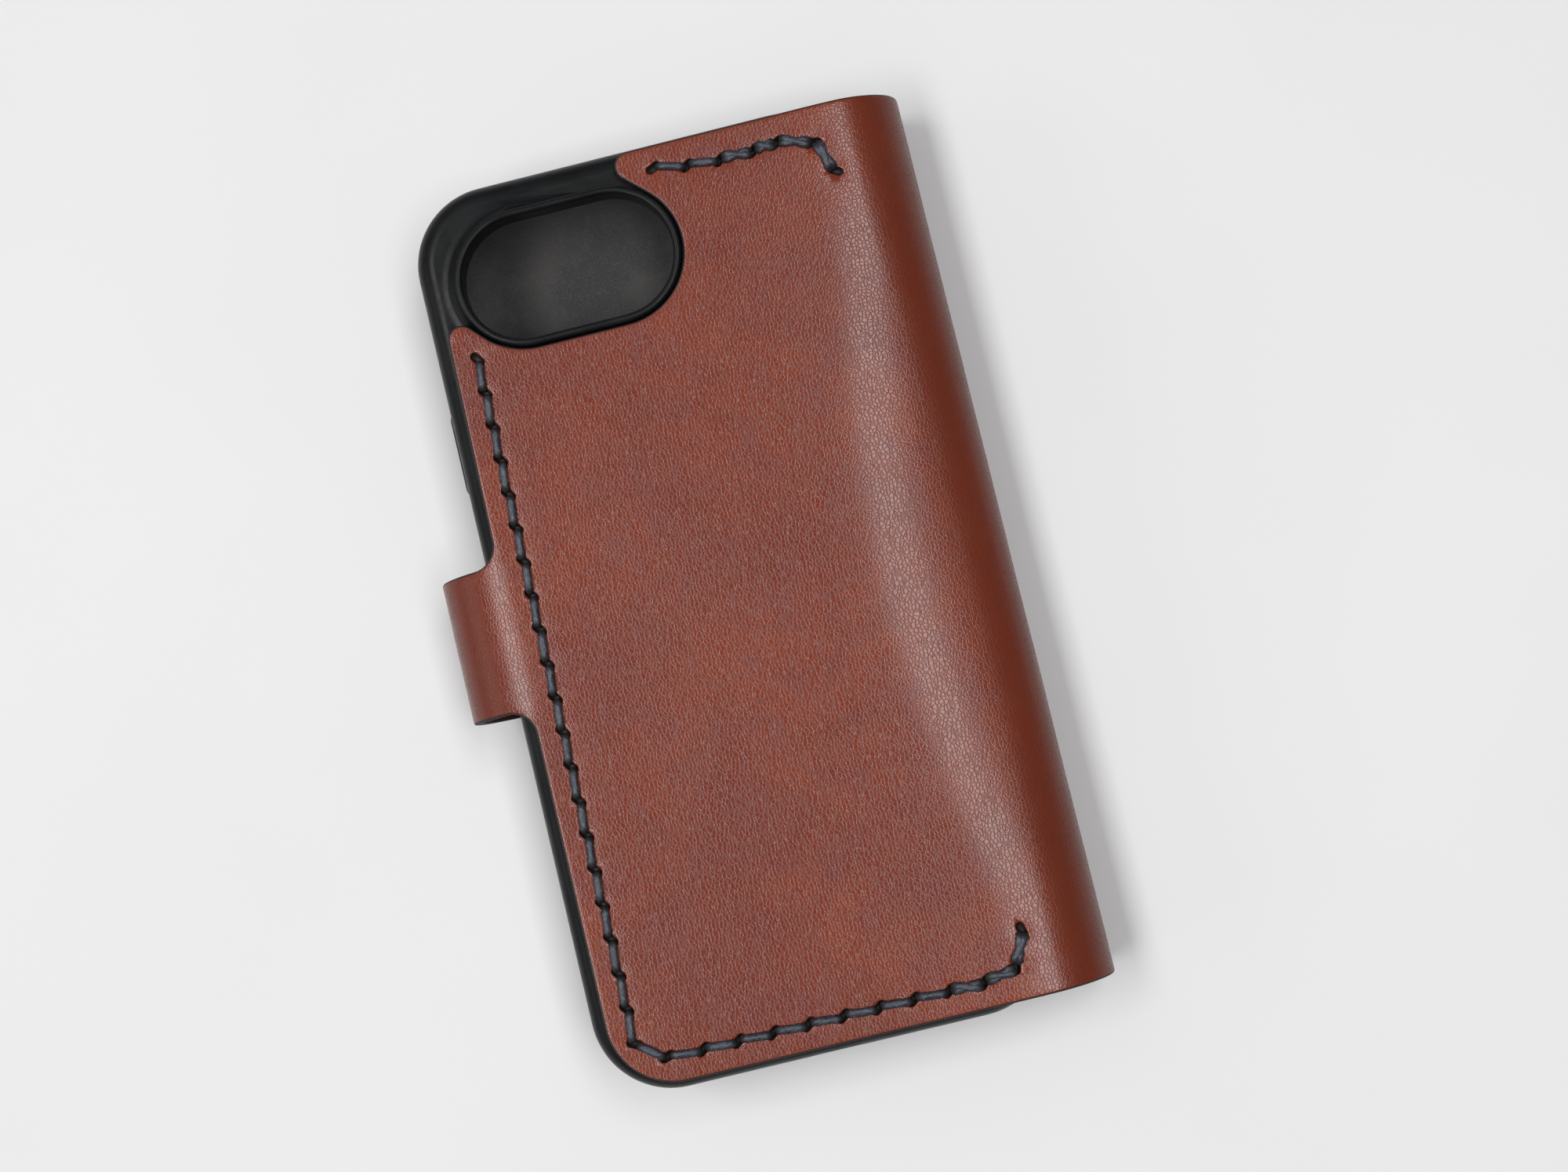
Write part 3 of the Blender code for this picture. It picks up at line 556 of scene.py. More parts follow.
def leather_material():
    """Waxed full-grain leather: a fine pebbled grain, mottled dye and dark painted edges, with
    painted shade in the grain's furrows and in the sewing slits, and bends that are darker partly
    from rubbed dye and partly as painted shade.
    """
    look = Shading("waxed_leather", 0.26, specular=0.40)
    sheet, edge_paint_and_pit_shade = look.attribute("sheet", "Vector"), look.attribute("edge_paint_and_pit_shade", "Fac")
    clouds = look.noise(sheet, 0.035, 4.0, 0.6)
    patches = look.noise(sheet, 0.16, 3.0, 0.55)
    specks = look.noise(sheet, 2.6, 2.0, 0.6)
    colour = look.mix(look.ramp(clouds, 0.35, 0.65), TAN, LIGHT_TAN)
    colour = look.mix(look.ramp(patches, 0.4, 0.72, 0.0, 0.55), colour, LEATHER_PATCH)
    colour = look.mix(look.ramp(specks, 0.42, 0.75, 0.0, 0.5), colour, LEATHER_SPECK)
    wobble = look.noise(sheet, 0.9, 2.0, 0.5)
    warped = look.node("ShaderNodeVectorMath", {0: wobble, 1: (0.55, 0.55, 0.0), 2: sheet}, 0,
                       operation="MULTIPLY_ADD")
    pebbles = look.node("ShaderNodeTexVoronoi",
                        {"Vector": look.scaled(warped, (1.0, 0.85, 1.0)), "Scale": 1.75,
                         "Randomness": 0.9}, "Distance", feature="DISTANCE_TO_EDGE")
    creases = look.noise(look.scaled(warped, (1.15, 0.8, 1.0)), 2.1, 2.0, 0.5)
    hollow = look.ramp(pebbles, 0.0, 0.3, 1.0, 0.0)
    grain = look.math("SUBTRACT", look.math("MULTIPLY", creases, 0.5),
                      look.math("MULTIPLY", hollow, hollow))
    furrow_shade_mask = look.ramp(pebbles, 0.03, 0.15, 1.0, 0.0)
    # Dark edge paint on the cut edges, and painted shade on the walls of the sewing slits.
    edge_paint_and_pit_shade_mask = look.ramp(edge_paint_and_pit_shade, 0.25, 0.8)
    across = look.node("ShaderNodeSeparateXYZ", {0: sheet}, 0)
    # Darker where the sheet turns down the spine and the tab: partly rubbed dye, partly painted
    # shade.
    bend_wear_and_shade = look.math("MAXIMUM", look.ramp(across, SPINE_START, SPINE_START + 6),
                     look.ramp(across, -TAB_START - 1, -TAB_START - 7))
    colour = look.mix(look.math("MULTIPLY", bend_wear_and_shade, 0.75), colour, LEATHER_BEND_WEAR_AND_SHADE)
    # Painted shade in the grain's furrows.
    colour = look.mix(look.math("MULTIPLY", furrow_shade_mask, 0.55), colour, LEATHER_FURROW_SHADE)
    colour = look.mix(edge_paint_and_pit_shade_mask, colour, EDGE_PAINT_AND_PIT_SHADE)
    look.set("Base Color", colour)
    gloss = look.ramp(look.noise(sheet, 0.3, 3.0, 0.6), 0.3, 0.7, 0.17, 0.22)
    bend_wear_and_shade_squared = look.math("MULTIPLY", bend_wear_and_shade, bend_wear_and_shade)
    gloss = look.math("ADD", gloss, look.math("MULTIPLY", bend_wear_and_shade_squared, 0.06))
    rough = look.math("ADD", gloss, look.math("MULTIPLY", furrow_shade_mask, 0.16))
    look.set("Roughness", look.math("ADD", rough, look.math("MULTIPLY", edge_paint_and_pit_shade_mask, 0.35)))
    look.set("Normal", look.bump(grain, 0.0145, 1.0))
    return look.material


def lining_material():
    """Short-napped charcoal lining."""
    look = Shading("charcoal_lining", 0.85, specular=0.25)
    place = look.place()
    nap = look.noise(place, 3.5, 4.0, 0.65)
    clouds = look.noise(place, 0.09, 3.0, 0.55)
    colour = look.mix(look.ramp(clouds, 0.35, 0.65), LINING_DARK, LINING_PALE)
    colour = look.mix(look.ramp(nap, 0.45, 0.7, 0.0, 0.5), colour, LINING_NAP)
    look.set("Base Color", colour)
    look.shader.inputs["Sheen Weight"].default_value = 0.35
    look.shader.inputs["Sheen Roughness"].default_value = 0.5
    look.set("Normal", look.bump(nap, 0.06, 0.7))
    return look.material


def rubber_material():
    """Satin black moulded rubber with a very fine even texture."""
    look = Shading("black_rubber", 0.3, specular=0.14)
    place = look.place()
    fine = look.noise(place, 9.0, 2.0, 0.6)
    drag = look.noise(look.scaled(place, (0.35, 1.6, 1.0)), 0.5, 3.0, 0.6)
    wear = look.noise(place, 0.12, 3.0, 0.55)
    look.set("Base Color", look.mix(look.ramp(wear, 0.35, 0.7), RUBBER_DARK, RUBBER_PALE))
    look.set("Roughness", look.math("ADD", look.ramp(drag, 0.3, 0.7, 0.24, 0.34),
                                    look.math("MULTIPLY", fine, 0.06)))
    look.set("Normal", look.bump(fine, 0.02, 0.5))
    return look.material


def thread_material():
    """Waxed, twisted black thread with a bluish sheen painted into its pale fibres, and painted
    shade on its ends inside the slits.
    """
    look = Shading("waxed_thread", 0.42, specular=0.5)
    strand = look.attribute("strand", "Vector")
    fibres = look.noise(look.scaled(strand, (2.2, 9.0, 1.0)), 1.0, 3.0, 0.6)
    wax = look.noise(look.scaled(strand, (1.0, 1.0, 3.0)), 1.1, 2.0, 0.5)
    colour = look.mix(look.ramp(fibres, 0.4, 0.66), THREAD_DARK, THREAD_PALE_AND_SHEEN)
    # Painted shade on the thread's ends inside the slits.
    slit_shade = look.attribute("sunk_shade", "Fac")
    look.set("Base Color", look.mix(slit_shade, colour, THREAD_SLIT_SHADE))
    look.set("Roughness", look.math("ADD", look.ramp(wax, 0.35, 0.7, 0.32, 0.52),
                                    look.math("MULTIPLY", slit_shade, 0.4)))
    look.set("Normal", look.bump(fibres, 0.06, 0.8))
    return look.material


def nickel_material():
    """Polished nickel with faint turning marks and small scuffs."""
    look = Shading("polished_nickel", 0.22, metallic=1.0)
    place = look.place()
    scuffs = look.noise(look.scaled(place, (6.0, 1.2, 2.0)), 1.2, 4.0, 0.65)
    tarnish = look.noise(place, 0.6, 3.0, 0.6)
    look.set("Base Color", look.mix(look.ramp(tarnish, 0.35, 0.7), NICKEL_DULL, NICKEL_BRIGHT))
    look.set("Roughness", look.ramp(scuffs, 0.4, 0.75, 0.16, 0.36))
    look.set("Normal", look.bump(scuffs, 0.01, 0.4))
    return look.material


LEATHER_LOOK = leather_material()
LINING_LOOK = lining_material()
RUBBER_LOOK = rubber_material()
THREAD_LOOK = thread_material()
NICKEL_LOOK = nickel_material()


# -------- the leather sheet

EDGE_ROUNDING = 0.42
EDGE_PAINT_WIDTH, FLESH_PAINT = EDGE_ROUNDING * 1.6, 0.12
PIT_DEPTH, PIT_LIP = 1.4, 0.16
PIT_REACH = SLIT_HALF + SLIT_RADIUS + 0.1
DIMPLE, DIMPLE_RADIUS = 0.2, 1.5
RECESS, CAP_RECESS_RADIUS, DISC_RECESS_RADIUS = 0.6, 5.4, 4.0
TAB_BORE, COVER_BORE = 1.6, 1.3
SPINE_ZONES, TAB_ZONES = 4, 3


def slit_ring(centre, direction, radius, out):
    """A round-ended slit's outline at one depth."""
    turn = math.degrees(math.atan2(direction[1], direction[0]))
    ring = []
    for sign, first in ((1, turn - 90), (-1, turn + 90)):
        end = (centre[0] + sign * SLIT_HALF * direction[0],
               centre[1] + sign * SLIT_HALF * direction[1])
        ring += arc(end, radius, first, first + 180, 7)
    return [(s, y, out) for s, y in ring]


def pit_cutter(seams):
    """The blind sewing slits, with soft lips, as one cutter."""
    shape = bmesh.new()
    for holes in seams:
        for centre, direction in zip(holes, slit_directions(holes)):
            levels = [(SLIT_RADIUS * 0.9, HALF - PIT_DEPTH), (SLIT_RADIUS, HALF - 0.35),
                      (SLIT_RADIUS + PIT_LIP * 0.35, HALF - 0.12), (SLIT_RADIUS + PIT_LIP, HALF),
                      (SLIT_RADIUS + 3 * PIT_LIP, HALF + 0.3)]
            loft_into(shape, [slit_ring(centre, direction, r, w) for r, w in levels])
    return mesh_object("sewing_slits", shape)


def recess_cutter(name, s, bore, radius, steps=48):
    """A recess in both faces of the flat sheet for a press stud's half, and a bore between them."""
    disc = DISC_RECESS_RADIUS
    profile = [(disc, -HALF - 1), (disc, RECESS - HALF), (bore, RECESS - HALF),
               (bore, HALF - RECESS), (radius, HALF - RECESS), (radius + 0.08, HALF - 0.15),
               (radius + 0.35, HALF + 0.15)]
    rings = [[(s + r * math.cos(a), TAB_Y + r * math.sin(a), w)
              for a in (2 * math.pi * k / steps for k in range(steps))] for r, w in profile]
    return cutter_from(name, rings)


def sheet_lines():
    """Where the flat sheet is divided across s and along y: finely where it bends or is sewn."""
    turns = [math.pi * i / 72 for i in range(73)]
    bends = [SPINE.line_at(t) for t in turns] + [TAB.line_at(t) for t in turns]
    flat = spread(TAB_TIP, -TAB.start - TAB.length, 1.4) + spread(FREE_EDGE, SEAM_X - 2.2, 0.9)
    flat += spread(SEAM_X - 2.2, SEAM_X + 2.4, 0.46) + spread(SEAM_X + 2.4, SPINE.start, 1.25)
    flat += spread(COVER_START, COVER_EDGE - 5, 1.6) + spread(COVER_EDGE - 5, COVER_EDGE, 0.6)
    flat += [TAB_ROOT, FREE_EDGE, SEAM_X - 2.2, SEAM_X + 2.4, COVER_EDGE - 5]
    s_lines = sorted(set(round(s, 4) for s in bends + flat))
    near = SEAM_Y - 2.6
    y_lines = spread(-near, near, 1.35) + [near, -near]
    for side in (1, -1):
        y_lines += [side * v for v in spread(near, SHEET_HALF_LENGTH - 0.5, 0.46)]
    return [s for s in s_lines if TAB_TIP + 0.3 < s < COVER_EDGE - 0.3], sorted(y_lines)


def dimple(distance):
    return -DIMPLE * math.exp(-(distance / DIMPLE_RADIUS) ** 2)


def make_sheet():
    """The whole folded sheet, with its sheet coordinates, and its edge paint and painted slit shade,
    as point attributes.
    """
    shape = slab(sheet_outline(), -HALF, HALF, EDGE_ROUNDING)
    grid_cut(shape, *sheet_lines())
    flat = mesh_object("flat_sheet", shape)
    cut(flat, pit_cutter(SEAMS.values()))
    cut(flat, recess_cutter("tab_recess", TAB_SNAP_S, TAB_BORE, CAP_RECESS_RADIUS))
    cut(flat, recess_cutter("cover_recess", SNAP_S, COVER_BORE, DISC_RECESS_RADIUS))

    outline_tree = sampled(sheet_outline(), 0.12)
    hole_tree = point_tree([hole for holes in SEAMS.values() for hole in holes])
    shape = bmesh.new()
    shape.from_mesh(flat.data)
    bpy.data.objects.remove(flat)
    coordinates, edge_paint_and_pit_shades = [], []
    for vert in shape.verts:
        s, y, w = vert.co
        to_edge = outline_tree.find((s, y, 0))[2]
        to_hole = hole_tree.find((s, y, 0))[2]
        edge_paint_and_pit_shade = 1 - ease(to_edge / EDGE_PAINT_WIDTH) if to_edge < 1 else 0.0
        # The walls of the sewing slits get the dark edge colour as painted shade.
        if 0.05 - HALF < w < HALF - 0.04 and to_hole < PIT_REACH:
            edge_paint_and_pit_shade = 1.0
        if w < 0.0:
            edge_paint_and_pit_shade = max(edge_paint_and_pit_shade, FLESH_PAINT)
        share = (w + HALF) / LEATHER
        coordinates += [s, y, w]
        edge_paint_and_pit_shades.append(edge_paint_and_pit_shade)
        vert.co = sheet_point(s, y, w + share * dimple(to_hole))
    return shape, coordinates, edge_paint_and_pit_shades


def split_sheet(shape, coordinates, edge_paint_and_pit_shades):
    """Cuts the folded sheet into its pieces, with one set of normals across all the cuts."""
    bmesh.ops.recalc_face_normals(shape, faces=shape.faces)
    shape.normal_update()
    shape.verts.ensure_lookup_table()
    normals = [tuple(v.normal) for v in shape.verts]
    spine_cuts = [SPINE.line_at(math.pi * i / SPINE_ZONES) for i in range(SPINE_ZONES + 1)]
    tab_cuts = [TAB.line_at(math.pi * i / TAB_ZONES) for i in range(TAB_ZONES + 1)]
    tab_cuts[0] = TAB_ROOT
    ranges = {"rear_leather": (tab_cuts[0], spine_cuts[0])}
    for i in range(SPINE_ZONES):
        ranges[f"spine_leather_{i + 1}"] = (spine_cuts[i], spine_cuts[i + 1])
    ranges["cover_leather"] = (spine_cuts[-1], COVER_EDGE + 1)
    for i in range(TAB_ZONES):
        ranges[f"tab_leather_{i + 1}"] = (tab_cuts[i + 1], tab_cuts[i])
    ranges["tab_end_leather"] = (TAB_TIP - 1, tab_cuts[-1])
    members = {name: [] for name in ranges}
    for face in shape.faces:
        centre = sum(coordinates[3 * v.index] for v in face.verts) / len(face.verts)
        for name, (low, high) in ranges.items():
            if low < centre <= high:
                members[name].append([v.index for v in face.verts])
                break
    pieces = {}
    for name, faces in members.items():
        used = sorted(set(i for face in faces for i in face))
        renumber = {old: new for new, old in enumerate(used)}
        part = bmesh.new()
        verts = [part.verts.new(shape.verts[i].co) for i in used]
        for face in faces:
            part.faces.new([verts[renumber[i]] for i in face])
        open_edges = [e for e in part.edges if len(e.link_faces) == 1]
        bmesh.ops.holes_fill(part, edges=open_edges, sides=0)
        sheet = [c for i in used for c in coordinates[3 * i:3 * i + 3]]
        made = finish_mesh(name, part, LEATHER_LOOK, [
            ("sheet", "FLOAT_VECTOR", sheet), ("edge_paint_and_pit_shade", "FLOAT", [edge_paint_and_pit_shades[i] for i in used])])
        made.data.normals_split_custom_set_from_vertices([normals[i] for i in used])
        pieces[name] = made
    shape.free()
    return pieces


def middle_line(s):
    x, z = fold(s, 0)
    return Vector((x, 0, z)) * MM


def attach_leather(pieces):
    for name, body, node in (("rear_leather", "case_back", "rear_panel"),
                             ("cover_leather", "cover", "front_cover"),
                             ("tab_end_leather", "tab_tip", "tab_end")):
        attach(pieces[name], body, node)
    for kind, zones, bend, last in (("spine", SPINE_ZONES, SPINE, "cover"),
                                    ("tab", TAB_ZONES, TAB, "tab_tip")):
        ends = [middle_line(bend.line_at(math.pi * i / zones)) for i in range(zones + 1)]
        if kind == "tab":
            ends[0] = middle_line(TAB_ROOT)
        for i in range(zones):
            piece = pieces[f"{kind}_leather_{i + 1}"]
            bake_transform(piece)
            if i:
                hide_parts(f"{kind}_strip_{i}")


# -------- the sewing

STITCH_STEPS, STRAND_SIDES = 26, 15
TWIST_PITCH, LOBES, LOBE_HEIGHT, STRAND_FLATNESS = 2.7, 3, 0.09, 0.82
STITCH_HEIGHT, STITCH_SINK = 0.22, 1.0
ARCH = 2 / 5.0    # the power of the superellipse that a stitch follows: flat on top, steep ends
# Where the thread's ends are painted dark as shade inside the slits.
SUNK_FROM, SUNK_LENGTH = 0.1, 0.7
STITCH_INSET, STITCH_OFFSET = 0.5, 0.3
SINGLE = ((0.0, 1.0),)
DOUBLE = ((-0.36, 0.9), (0.36, 1.5))    # (sway, lift) of each turn of thread


def strand_into(shape, strands, sunk_shade, start, end, lift, sway, phase):
    """One stitch: out of one hole, over the surface and down into the next, lightly twisted."""
    run = math.dist(start, end)
    along_s, along_y = (end[0] - start[0]) / run, (end[1] - start[1]) / run
    centres = []
    for i in range(STITCH_STEPS + 1):
        angle = math.pi * i / STITCH_STEPS
        reach = run / 2 * (1 - math.copysign(abs(math.cos(angle)) ** ARCH, math.cos(angle)))
        rise = abs(math.sin(angle)) ** ARCH
        centres.append((reach, -STITCH_SINK + (STITCH_SINK + STITCH_HEIGHT * lift) * rise))
    rings = []
    for i, (reach, high) in enumerate(centres):
        before, after = centres[max(i - 1, 0)], centres[min(i + 1, STITCH_STEPS)]
        slope = math.atan2(after[1] - before[1], max(after[0] - before[0], 1e-6))
        turn = 2 * math.pi * reach / TWIST_PITCH + phase
        ring = []
        for k in range(STRAND_SIDES):
            angle = 2 * math.pi * k / STRAND_SIDES
            size = THREAD_RADIUS * (1 + LOBE_HEIGHT * math.cos(LOBES * (angle + turn)))
            side, up = size * math.cos(angle), STRAND_FLATNESS * size * math.sin(angle)
            side += sway * math.cos(math.pi * reach / run)
            forward, lifted = reach - up * math.sin(slope), high + up * math.cos(slope)
            s = start[0] + along_s * forward - along_y * side
            y = start[1] + along_y * forward + along_s * side
            ring.append(sheet_point(s, y, HALF + lifted))
            strands += [reach + phase * 3, angle * THREAD_RADIUS, phase]
            # How deep into the painted shade of the slit this ring of the thread lies.
            sunk_shade.append(1 - ease((min(reach, run - reach) - SUNK_FROM) / SUNK_LENGTH))
        rings.append(ring)
    loft_into(shape, rings)


def make_thread(name, holes, node, body, doubled=()):
    """A run of separate stitches over the sheet."""
    shape, strands, sunk_shade = bmesh.new(), [], []
    directions = slit_directions(holes)
    for i in range(len(holes) - 1):
        (s0, y0), (d0, e0) = holes[i], directions[i]
        (s1, y1), (d1, e1) = holes[i + 1], directions[i + 1]
        gap = math.dist(holes[i], holes[i + 1])
        run_s, run_y = (s1 - s0) / gap * STITCH_INSET, (y1 - y0) / gap * STITCH_INSET
        start = (s0 + d0 * STITCH_OFFSET + run_s, y0 + e0 * STITCH_OFFSET + run_y)
        end = (s1 - d1 * STITCH_OFFSET - run_s, y1 - e1 * STITCH_OFFSET - run_y)
        for number, (sway, lift) in enumerate(DOUBLE if i in doubled else SINGLE):
            strand_into(shape, strands, sunk_shade, start, end, lift, sway, 0.9 * i + 2.1 * number)
    made = finish_mesh(name, shape, THREAD_LOOK, [("strand", "FLOAT_VECTOR", strands),
                                                  ("sunk_shade", "FLOAT", sunk_shade)])
    attach(made, body, node)


# -------- lining and card pockets

def inner_outline(top=None):
    """The lining's outline on the cover, or a pocket's, with a thumb notch in its mouth."""
    low, edge = COVER_START + LINING_FROM_SPINE, COVER_EDGE - LINING_INSET
    half, corner = SHEET_HALF_LENGTH - LINING_INSET, CORNER - LINING_INSET
    lower = arc((edge - corner, corner - half), corner, -90, 0, 14)
    if top is None:
        upper = arc((edge - corner, half - corner), corner, 0, 90, 14)
        return [(low, half), (low, -half)] + lower + upper
    centre = ((low + edge) / 2, top + NOTCH_RADIUS - NOTCH_DEPTH)
    spread_deg = math.degrees(math.acos(1 - NOTCH_DEPTH / NOTCH_RADIUS))
    notch = arc(centre, NOTCH_RADIUS, 270 + spread_deg, 270 - spread_deg, 22)
    return [(low, top), (low, -half)] + lower + [(edge, top)] + notch


def inner_panel(name, outline, node):
    """A lining layer: rounded edges, a creased line inside them and slight unevenness."""
    low_x, high_x = box_mm(node)
    inner, outer = COVER_MIDDLE - high_x.z, COVER_MIDDLE - low_x.z
    shape = slab(outline, inner, outer, 0.28)
    s_values, y_values = [p[0] for p in outline], [p[1] for p in outline]
    grid_cut(shape, spread(min(s_values), max(s_values), 0.9),
             spread(min(y_values), max(y_values), 0.9))
    tree = sampled(outline, 0.15)
    for vert in shape.verts:
        s, y, w = vert.co
        to_edge = tree.find((s, y, 0))[2]
        crease = -0.12 * math.exp(-((to_edge - 1.25) / 0.33) ** 2)
        share = (outer - w) / (outer - inner)
        sag = 0.06 * noise.noise(Vector((s / 11, y / 13, len(name))))
        x, z = fold(s, w - share * (crease + sag))
        vert.co = (x, y, z)
    attach(finish_mesh(name, shape, LINING_LOOK), "cover", node)


# -------- the shell

def rounded_rectangle(width, length, radius, steps=20):
    half_x, half_y = width / 2 - radius, length / 2 - radius
    points = []
    for number, (sx, sy) in enumerate(((1, -1), (1, 1), (-1, 1), (-1, -1))):
        first = -90 + 90 * number
        points += arc((sx * half_x, sy * half_y), radius, first, first + 90, steps)
    return points


def stadium(radius, steps=28):
    right = arc((WINDOW_X + WINDOW_HALF_STRAIGHT, WINDOW_Y), radius, -90, 90, steps)
    left = arc((WINDOW_X - WINDOW_HALF_STRAIGHT, WINDOW_Y), radius, 90, 270, steps)
    return right + left


def raised(outline, z):
    return [(x, y, z) for x, y in outline]


def shell_ring(inset, z):
    return raised(rounded_rectangle(SHELL_WIDTH - 2 * inset, SHELL_LENGTH - 2 * inset,
                                    SHELL_CORNER - inset), z)


def shell_body():
    rings, steps = [], 10
    for i in range(steps + 1):
        angle = math.pi / 2 * i / steps
        rings.append(shell_ring(FRONT_EDGE_RADIUS * (1 - math.sin(angle)),
                                SHELL_BOTTOM + FRONT_EDGE_RADIUS * (1 - math.cos(angle))))
    for i in range(steps + 3):
        angle = math.pi / 2 * i / (steps + 2)
        rings.append(shell_ring(BACK_EDGE_RADIUS * (1 - math.cos(angle)),
                                SHELL_TOP - BACK_EDGE_RADIUS * (1 - math.sin(angle))))
    return cutter_from("shell_body", rings)


RIM_ROUNDING = 0.62
FILLET_WIDTH = 2.6


def fillet_share(x, y):
    """How far the rim's foot may spread: fully in the bare corner, not at all by the leather."""
    angle = math.degrees(math.atan2(y - WINDOW_Y, x - WINDOW_X)) % 360
    return ease((angle - 62) / 24) * ease((216 - angle) / 22)


def rim_body():
    """The rim round the camera window, with a hollow foot that runs out into the shell."""
    height = RIM_TOP - SHELL_TOP
    rings = [raised(stadium(RIM_RADIUS), SHELL_TOP - 1.2)]
    for i in range(11):
        share = i / 10
        rise = share * (height - RIM_ROUNDING)
        spread_out = FILLET_WIDTH * (1 - math.sqrt(1 - (1 - share) ** 2))
        ring = []
        for (x, y), (wx, wy) in zip(stadium(RIM_RADIUS), stadium(RIM_RADIUS + 1)):
            wide = spread_out * fillet_share(x, y)
            ring.append((x + (wx - x) * wide, y + (wy - y) * wide, SHELL_TOP + rise))
        rings.append(ring)
    for i in range(1, 7):
        angle = math.pi / 2 * i / 6
        rings.append(raised(stadium(RIM_RADIUS - RIM_ROUNDING * (1 - math.cos(angle))),
                            RIM_TOP - RIM_ROUNDING * (1 - math.sin(angle))))
    return cutter_from("rim_body", rings)


def slot_rings(length, height, centre, across_x, flare):
    """A round-ended slot through a wall, with a small flare at its outer end."""
    outward = 1 if (centre[0] if across_x else centre[1]) > 0 else -1
    half = SLOT_DEPTH / 2
    rings = []
    for grow, shift in ((0, -half), (0, half - 2 * flare), (flare, half - flare / 2),
                        (2 * flare, half + flare)):
        outline = rounded_rectangle(length + 2 * grow, height + 2 * grow,
                                    height / 2 + grow - 0.01, 8)
        ring = []
        for a, b in outline:
            if across_x:
                ring.append((centre[0] + outward * shift, centre[1] + a, centre[2] + b))
            else:
                ring.append((centre[0] + a, centre[1] + outward * shift, centre[2] + b))
        rings.append(ring)
    return rings


BUTTON_NODES = ("power_button", "action_button", "volume_up_button", "volume_down_button")
SLOT_DEPTH = 3.0
PORT, SPEAKER_SLOT, SPEAKER_SLOT_X = (12.2, 6.2), (8.6, 2.4), 13.8


def make_shell():
    shell = shell_body()
    cut(shell, rim_body(), "UNION")
    cavity = [shell_ring(WALL + inset, z)
              for inset, z in ((0.0, CAVITY_BOTTOM), (0.0, CAVITY_TOP - 0.9),
                               (0.26, CAVITY_TOP - 0.26), (0.9, CAVITY_TOP))]
    cut(shell, cutter_from("cavity", cavity))
    lip = WALL + LIP_OVERHANG
    mouth = [shell_ring(inset, z)
             for inset, z in ((lip - 0.9, SHELL_BOTTOM - 0.4), (lip - 0.45, SHELL_BOTTOM),
                              (lip - 0.12, SHELL_BOTTOM + 0.18), (lip, SHELL_BOTTOM + 0.5),
                              (lip, CAVITY_BOTTOM + 0.6))]
    cut(shell, cutter_from("mouth", mouth))
    window = [raised(stadium(WINDOW_RADIUS + grow), z)
              for grow, z in ((0.0, CAVITY_TOP - 1), (0.0, RIM_TOP - 0.6), (0.09, RIM_TOP - 0.32),
                              (0.3, RIM_TOP - 0.09), (0.6, RIM_TOP + 0.02), (0.9, RIM_TOP + 0.6))]
    cut(shell, cutter_from("window", window))
    end_y = -(SHELL_LENGTH - WALL) / 2
    cut(shell, cutter_from("port", slot_rings(*PORT, (0, end_y, PORT_Z), False, 0.3)))
    for side in (-1, 1):
        rings = slot_rings(*SPEAKER_SLOT, (side * SPEAKER_SLOT_X, end_y, PORT_Z), False, 0.2)
        cut(shell, cutter_from("speaker_slot", rings))
    for node in BUTTON_NODES:
        low, high = box_mm(node)
        middle = (low + high) / 2
        wall_x = math.copysign((SHELL_WIDTH - WALL) / 2, middle.x)
        rings = slot_rings(high.y - low.y + 2 * GAP, high.z - low.z + 2 * GAP,
                           (wall_x, middle.y, middle.z), True, 0.15)
        cut(shell, cutter_from("button_window", rings))
    shape = bmesh.new()
    shape.from_mesh(shell.data)
    bpy.data.objects.remove(shell)
    made = finish_mesh("soft_shell", shape, RUBBER_LOOK)
    made.data.set_sharp_from_angle(angle=math.radians(28))
    weighted = made.modifiers.new("weighted", "WEIGHTED_NORMAL")
    weighted.keep_sharp = True
    attach(made, "case_back", "shell")


def make_buttons():
    """Soft pads with a crowned, round-edged face."""
    for node in BUTTON_NODES:
        low, high = box_mm(node)
        middle = (low + high) / 2
        outward = 1 if middle.x > 0 else -1
        length, height, depth = high.y - low.y, high.z - low.z, high.x - low.x
        rings = []
        for inset, share in ((0.25, 0.0), (0.05, 0.04), (0.0, 0.15), (0.0, 0.62), (0.08, 0.78),
                             (0.28, 0.9), (0.6, 0.97), (1.05, 1.0)):
            outline = rounded_rectangle(length - 2 * inset, height - 2 * inset,
                                        max(height / 2 - inset - 0.02, 0.1), 10)
            x = middle.x + outward * depth * (share - 0.5)
            rings.append([(x, middle.y + a, middle.z + b) for a, b in outline])
        shape = bmesh.new()
        loft_into(shape, rings)
        pad = finish_mesh(node.replace("button", "pad"), shape, RUBBER_LOOK)
        attach(pad, node + "_body", node)


# -------- the press stud

def lathe(name, profile, s, body, node, closed=False, steps=72):
    """A turned piece from (radius, w) points, its axis square to the flat sheet at s."""
    x0, z0 = fold(s, 0)
    x1, z1 = fold(s, 1)
    shape = bmesh.new()
    rings = []
    for radius, w in profile:
        angles = (2 * math.pi * k / steps for k in range(steps))
        rings.append([(x0 + w * (x1 - x0) + max(radius, 0.01) * math.cos(a),
                       TAB_Y + max(radius, 0.01) * math.sin(a), z0 + w * (z1 - z0))
                      for a in angles])
    loft_into(shape, rings, closed)
    made = finish_mesh(name, shape, NICKEL_LOOK)
    made.data.set_sharp_from_angle(angle=math.radians(40))
    attach(made, body, node)


